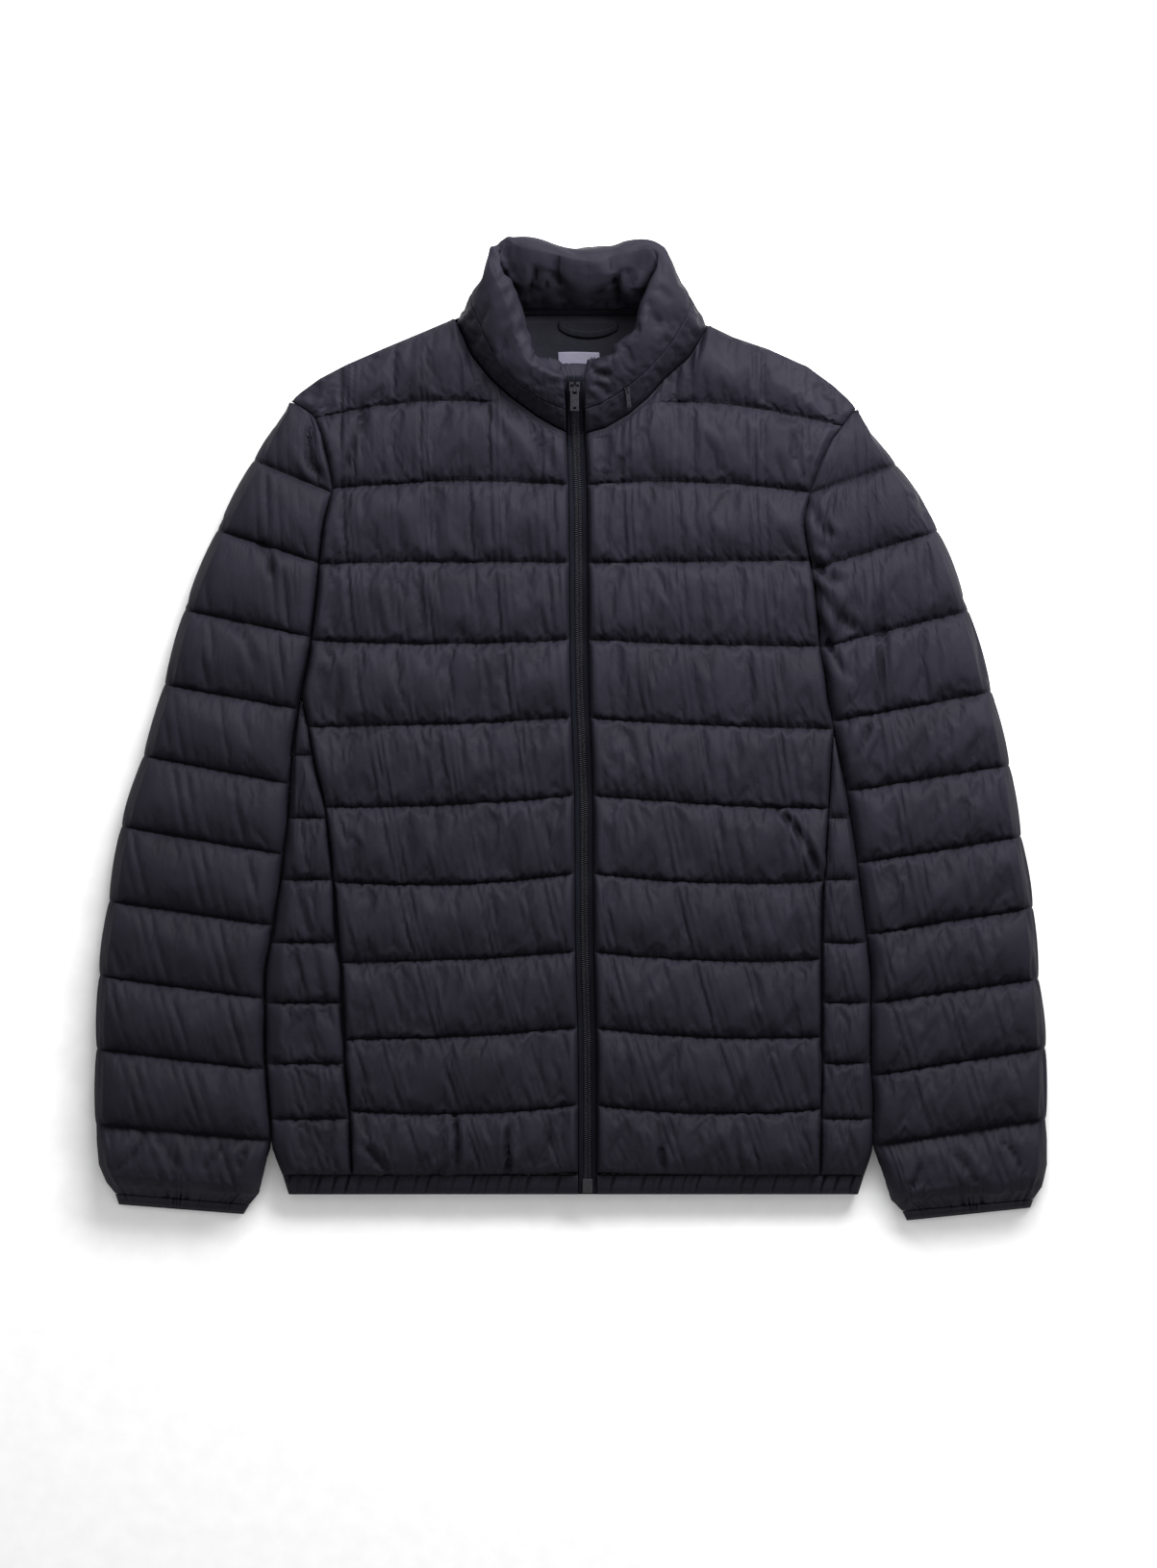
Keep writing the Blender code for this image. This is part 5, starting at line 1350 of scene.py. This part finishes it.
# %% Cuffs
CUFF_ROWS = 13
CUFF_COLUMNS = 150       # across the top, enough for its gathers
for side in SIDES:
    first, last = (np.array([CUFF[side][c][k] for c in ("outer_x", "outer_y", "inner_x",
                                                        "inner_y")]) for k in (2, 3))
    first = first + (last - first) / np.linalg.norm((last - first)[:2]) * SEW_GAP
    skin, inner = [], []
    for share in np.linspace(0, 1, CUFF_ROWS):
        line = blend(first, last, share)
        width = math.dist(line[:2], line[2:])
        chain = sleeve_chain(width, 0.1 * (1 - share), 1.0, CUFF_WAVES * (1 - 0.6 * share),
                             CUFF_COLUMNS)
        fall = CUFF_HEIGHT / SLEEVE_END * blend(1.0, 0.6, ease((share - 0.6) / 0.4))
        flat = SLEEVE_END * blend(1.0, fall, ease(share / 0.6))
        skin.append(placed(chain, line[:2], line[2:], flat))
        inner.append(placed(inner_chain(width, 1.0), line[:2], line[2:], 0.9 * flat))
    piece = closed_wall(f"cuff_{side}_binding", np.array(skin), np.array(inner[::6]), BINDING,
                        (OUTER_FOLD, 3))
    stand_for(piece, "cuff_" + side)

# %% [markdown]
# ## Inside the neck
# Through the neck one sees a half-moon of lining on the back, a hanger loop and a woven label
# without any print. They are thin cloth: a few soft wrinkles, thinner edges, real thickness. With
# so few wrinkles, a sine wave or two is enough, and simpler than a simulation.


# %% Thin cloth
def thin_cloth(name, middle, thickness, material, node=None):
    """Closed thin sheet round a grid of points in its middle."""
    normal = np.cross(np.gradient(middle, axis=1), np.gradient(middle, axis=0))
    normal /= np.linalg.norm(normal, axis=2, keepdims=True)
    thick = 0.5 * thickness * np.ones(middle.shape[:2])
    thick[[0, -1]] *= 0.5
    thick[:, [0, -1]] *= 0.5
    upper, lower = middle + normal * thick[..., None], middle - normal * thick[..., None]
    piece = closed_wall(name, upper, lower, material)
    if node:
        stand_for(piece, node)
    return piece


def foot_line():
    """Line on the inside of the collar's foot, from the right zip end round to the left."""
    wall, *_, outward = collar_frames([0.0, 0.5, 1.0])
    return wall[:, 0] - outward * (COLLAR_FOOT_HALF + 1.5 * SEW_GAP)


# %% Neck lining
LINING_Y = (254.0, 324.0)
foot = foot_line()
ends = []
for chain in (foot[:len(foot) // 2], foot[:len(foot) // 2:-1]):
    rising = chain[:int(np.argmax(chain[:, 1] > LINING_Y[1]))]
    ends.append((rising[:, 1], rising[:, 0]))
y = np.linspace(LINING_Y[0], LINING_Y[1], 81)[:, None]
right_x, left_x = (np.interp(y, *end) for end in ends)
u = np.linspace(0, 1, 121)[None]
x = blend(right_x, left_x, u)
hang = ease((LINING_Y[1] - y) / 20) * ease(u / 0.1) * ease((1 - u) / 0.1)
slack = 0.45 * ripple(x * 0.9 + 8 * np.sin(y / 19) + 0.3 * y, 17.0, 12)
slack += 0.3 * np.sin(y / 6 + x / 31)
z = FRONT_UNDER + 0.55 + np.maximum(hang * slack, -0.15)
neck_lining = thin_cloth("back_neck_lining_cloth", np.stack([x, y + 0 * x, z], -1), 0.8, SHADED_LINING,
                         "back_neck_lining")

# %% Hanger loop and label
t = np.linspace(0, 1, 61)[:, None]
width = np.linspace(-1, 1, 9)[None]
sag = 4 * t * (1 - t)
twist = 0.35 + 0.35 * np.sin(3.0 * t)
x = blend(-17.0, 30.5, t) + 0.5 * width * (0.5 - t)
y = 324.0 - 8.5 * sag ** 0.6 + 2.7 * width
z = 16.7 + 1.8 * sag + twist * width - 0.3 * width ** 4 + 0.12 * np.sin(t * 40)
hanger_loop = thin_cloth("hanger_loop_band", np.stack([x, y, z], -1), 1.1, SHADED_LINING, "hanger_loop")

u = np.linspace(0, 1, 45)[None]
v = np.linspace(0, 1, 29)[:, None]
x = blend(-17.6, 15.4, u) + 0.3 * np.sin(5 * v)
y = blend(301.5, 280.5, v) + 0.25 * np.sin(4 * u)
z = 16.0 + 0.5 * (1 - (2 * u - 1) ** 2) * (1 - 0.6 * v) + 0.12 * np.sin(9 * u + 2 * v)
neck_label = thin_cloth("neck_label_cloth", np.stack([x, y, z], -1), 0.6, SHADED_LABEL, "neck_label")

# %% Facing behind the slider, crumpled where the zip ends
u = np.linspace(0, 1, 57)[None]
v = np.linspace(0, 1, 15)[:, None]
x = blend(-22.5, 8.5, u) + 0 * v
top_edge = 291.0 + 0.8 * ripple(x, 6.0, 3) - 14.0 * (u - 0.5) ** 4
y = blend(top_edge, 277.0, v)
z = 50.0 - 5.0 * (1 - v) ** 2 + (1.1 * ripple(x + 0.4 * y, 5.0, 8)) * (1 - 0.3 * v)
zip_facing = thin_cloth("zip_facing_cloth", np.stack([x, y, z], -1), 1.0, NYLON)

# %% [markdown]
# ## The zip
# A nylon coil zip: two woven tapes, and on each a coil whose turns grip those of the other side.
# A turn every 1.5 mm is what such a zip has, and at that size each turn is still its own small
# piece. An array modifier along a curve could set them out; here they are copies of one turn,
# worked out in one step and joined to one mesh, so each turn stands square to the bent path.


# %% Tapes
def zip_path():
    """Middle of the zip from the hem, over the body and up the collar."""
    flat = [(float(zip_x(y)), y, 16.2) for y in np.linspace(HEM_Y[1] + 1.0, 226.0, 20)]
    climb = [(float(zip_x(y)), y, z) for y, z in ((236, 19.0), (245, 26.5), (257, 37.5),
                                                  (269, 48.0), (276.5, 54.5), (281, 56.5))]
    return np.array(flat + climb)


def along(points, spacing):
    """Points at an even spacing along a line."""
    reach = np.concatenate([[0], np.cumsum(np.linalg.norm(np.diff(points, axis=0), axis=1))])
    at = np.arange(0, reach[-1], spacing)
    return np.stack([np.interp(at, reach, points[:, k]) for k in range(3)], 1)


PATH = along(zip_path(), 1.5)
for side in SIDES:
    s = sign(side)
    reach = ZIP_HALF - blend(0.35, 1.1, ease((PATH[:, 1:2] - 222) / 12))
    share = np.linspace(0, 1, 10)[None]
    x = PATH[:, :1] + s * blend(0.2, reach, share)
    step = np.where(share < 0.5, 0.0, 0.25 * np.sin(PATH[:, 1:2] / 7.0 + share * 3))
    skin = np.stack([x, PATH[:, 1:2] + 0 * x, PATH[:, 2:] + step * ease(4 - 4 * share)], -1)
    thin_cloth(f"zip_tape_{side}_woven", skin, 1.2, TAPE, "zip_tape_" + side)


# %% Coil
def copies(name, points, faces, places, frames, material):
    """One mesh of many copies of a small shape, each with its own place and directions."""
    points = np.asarray(points, float)
    turned = np.einsum("pk,nkc->npc", points, frames) + places[:, None]
    numbers = np.asarray(faces)[None] + np.arange(len(places))[:, None, None] * len(points)
    mesh = bpy.data.meshes.new(name)
    mesh.from_pydata((turned.reshape(-1, 3) * MM).tolist(), [], numbers.reshape(-1, 4).tolist())
    mesh.shade_smooth()
    mesh.materials.append(material)
    piece = bpy.data.objects.new(name, mesh)
    bpy.context.scene.collection.objects.link(piece)
    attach(piece, "jacket")
    print(name, len(places), "copies,", 2 * len(mesh.polygons), "triangles")
    return piece


def capsule(length, width, height, sides=6):
    """Long bead along x: a small round bar that narrows at both ends."""
    rings = ((-0.5, 0.35), (-0.4, 0.85), (-0.15, 1.0), (0.15, 1.0), (0.4, 0.85), (0.5, 0.35))
    turns = 2 * np.pi * np.arange(sides) / sides
    points = [(at * length, size * width / 2 * math.cos(t), size * height / 2 * math.sin(t))
              for at, size in rings for t in turns]
    faces = [(r * sides + k, r * sides + (k + 1) % sides, (r + 1) * sides + (k + 1) % sides,
              (r + 1) * sides + k) for r in range(len(rings) - 1) for k in range(sides)]
    caps = [[(first, first + 1, first + 2, first + 3), (first, first + 3, first + 4, first + 5)]
            for first in (0, (len(rings) - 1) * sides)]
    faces += [face[::-1] for face in caps[0]] + caps[1]
    return points, faces


beyond = PATH[(PATH[:, 1] > HEM_Y[1] + 6) & (PATH[:, 1] < 276)]
tangent = np.gradient(beyond, axis=0)
tangent /= np.linalg.norm(tangent, axis=1, keepdims=True)
across = np.tile((1.0, 0.0, 0.0), (len(beyond), 1))
out = np.cross(across, tangent)
frames = np.stack([across, tangent, out], 1)
turn_points, turn_faces = capsule(3.6, 1.05, 1.3)
for side in SIDES:
    shift = 0.0 if side == "right" else 0.75
    places = beyond + across * sign(side) * 1.5 + tangent * shift + out * 0.95
    copies(f"zip_coil_{side}", turn_points, turn_faces, places, frames, COIL)

# %% [markdown]
# ## Thread
# Every quilting seam is a row of lockstitches. A real stitch is 3 mm long and a third of a
# millimetre thick; here the thread is drawn a little thicker so that it reads at all. A line in
# the material would be cheaper, but a bead of thread catches the light and casts a shadow.

# %% Stitches along the seams
STITCH_PITCH = 3.0
SLEEVE_TOP_SIDE = slice(32, -6)    # the columns of a sleeve on which its seams show
PANEL_TOP_SIDE = slice(26, -1)     # and those of a side panel
stitch_points, stitch_faces = capsule(2.2, 0.55, 0.5)


def stitches(name, lines, lift=0.15):
    """Rows of stitches that lie along the given lines."""
    places, frames = [], []
    for line in lines:
        line = along(np.asarray(line), STITCH_PITCH)[1:-1]
        if len(line) < 3:
            continue
        way = np.gradient(line, axis=0)
        way /= np.linalg.norm(way, axis=1, keepdims=True)
        side = np.cross(way, (0.0, 0.0, 1.0))
        side /= np.linalg.norm(side, axis=1, keepdims=True)
        up = np.cross(side, way)
        places.append(line + up * lift)
        frames.append(np.stack([way, side, up], 1))
    return copies(name, stitch_points, stitch_faces, np.concatenate(places),
                  np.concatenate(frames), THREAD)


for side in SIDES:
    front, sleeve, panel = (SKINS[name + side] for name in ("front_", "sleeve_", "side_"))
    stitches(f"thread_front_{side}", [front[k] for k in SEAM_ROWS[1:-1]])
    stitches(f"thread_sleeve_{side}", [sleeve[k, SLEEVE_TOP_SIDE] for k in SEAM_ROWS[1:-1]])
    rows = range(SIDE_ROWS, len(panel) - 1, SIDE_ROWS)
    stitches(f"thread_side_{side}", [panel[k, PANEL_TOP_SIDE] for k in rows])
stitches("thread_hem", [hem[4, :HEM_TOP_COLUMNS - 2], hem[4, -HEM_TOP_COLUMNS + 2:]])

# %% [markdown]
# ## Hard parts
# Sliders, pulls and the bottom box are cast or moulded. They are the solids from the frame, which
# are exact already, so modelling them again would gain nothing and they only get real finishes.

# %% Finishes of the hard parts
for node, finish in (("zip_slider", METAL), ("zip_pull", METAL), ("hood_zip_slider", METAL),
                     ("hood_zip_pull", METAL), ("zip_box", PLASTIC)):
    for place in frame["nodes"][node].material_slots:
        place.material = finish
    print(node, "->", finish.name)

# %% [markdown]
# ## What each cloth was cut from
# The table lists what each cloth that folds or drapes was before: flat pieces of so much cloth. The
# widths and lengths here are those of the cut pieces that show, all round where a piece is a tube.

CUT = {"front_right_quilted": (0.235, 0.690, 0.145), "front_left_quilted": (0.225, 0.690, 0.140),
       "side_right_quilted": (0.100, 0.370, 0.030), "side_left_quilted": (0.105, 0.345, 0.030),
       "sleeve_right_quilted": (0.290, 0.660, 0.175), "sleeve_left_quilted": (0.280, 0.660, 0.165),
       "back_quilted": (0.450, 0.700, 0.275), "hem_casing_cloth": (0.930, 0.026, 0.0235),
       "cuff_right_binding": (0.270, 0.014, 0.0034), "cuff_left_binding": (0.270, 0.014, 0.0034)}
for name, (width, length, area) in CUT.items():
    kind, side = name.split("_")[:2]
    under = "back_quilted" if kind == "front" else "floor"
print("declared:", len(CUT) + 4, "pieces of cloth")

# %% [markdown]
# ## Floor, light and camera
# Plain pale floor, one broad soft light from beyond the collar, and a white surround. A small lamp
# would give each fold a hard edge; a broad one shades it softly. The camera looks straight down
# from far away with a long lens, so that the near parts don't look larger than the far ones.


# %% Floor, light and camera
scene = bpy.context.scene
floor_mesh = bpy.data.meshes.new("floor")
floor_mesh.from_pydata([(-3, -3, 0), (3, -3, 0), (3, 3, 0), (-3, 3, 0)], [], [(0, 1, 2, 3)])
floor = bpy.data.objects.new("floor", floor_mesh)
scene.collection.objects.link(floor)
floor_mesh.materials.append(solid_material("matt white paper", "efefef", "f3f3f3", 0.8, 60.0,
                                           Specular_IOR_Level=0.1))

window = bpy.data.lights.new("window", "AREA")
window.shape = "RECTANGLE"
window.size, window.size_y = 1.2, 0.4
window.energy = 31.0
window_object = bpy.data.objects.new("window", window)
window_object.location = (0.3, 0.75, 0.66)
window_object.rotation_euler = (Vector((0.0, 0.1, 0.0)) - window_object.location).to_track_quat(
    "-Z", "Y").to_euler()
scene.collection.objects.link(window_object)
world = bpy.data.worlds.new("white room")
world.use_nodes = True
world.node_tree.nodes["Background"].inputs["Color"].default_value = (1, 1, 1, 1)
world.node_tree.nodes["Background"].inputs["Strength"].default_value = 0.68
scene.world = world
scene.view_settings.view_transform = "Standard"

camera = bpy.data.cameras.new("camera")
camera.lens = 200
camera.sensor_width = 36
camera.clip_end = 30
camera_object = bpy.data.objects.new("camera", camera)
camera_object.location = (-0.00115, -0.0421, 6.9478)
scene.collection.objects.link(camera_object)
scene.camera = camera_object
print("camera at", tuple(camera_object.location))

# %% Check the size and finish
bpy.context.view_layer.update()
shown = [piece for piece in bpy.data.objects if piece.type == "MESH" and not piece.hide_render]
sizes = {p.name: sum(len(f.vertices) - 2 for f in p.data.polygons) for p in shown}
print("triangles:", sum(sizes.values()), sorted(sizes.items(), key=lambda item: -item[1])[:8])
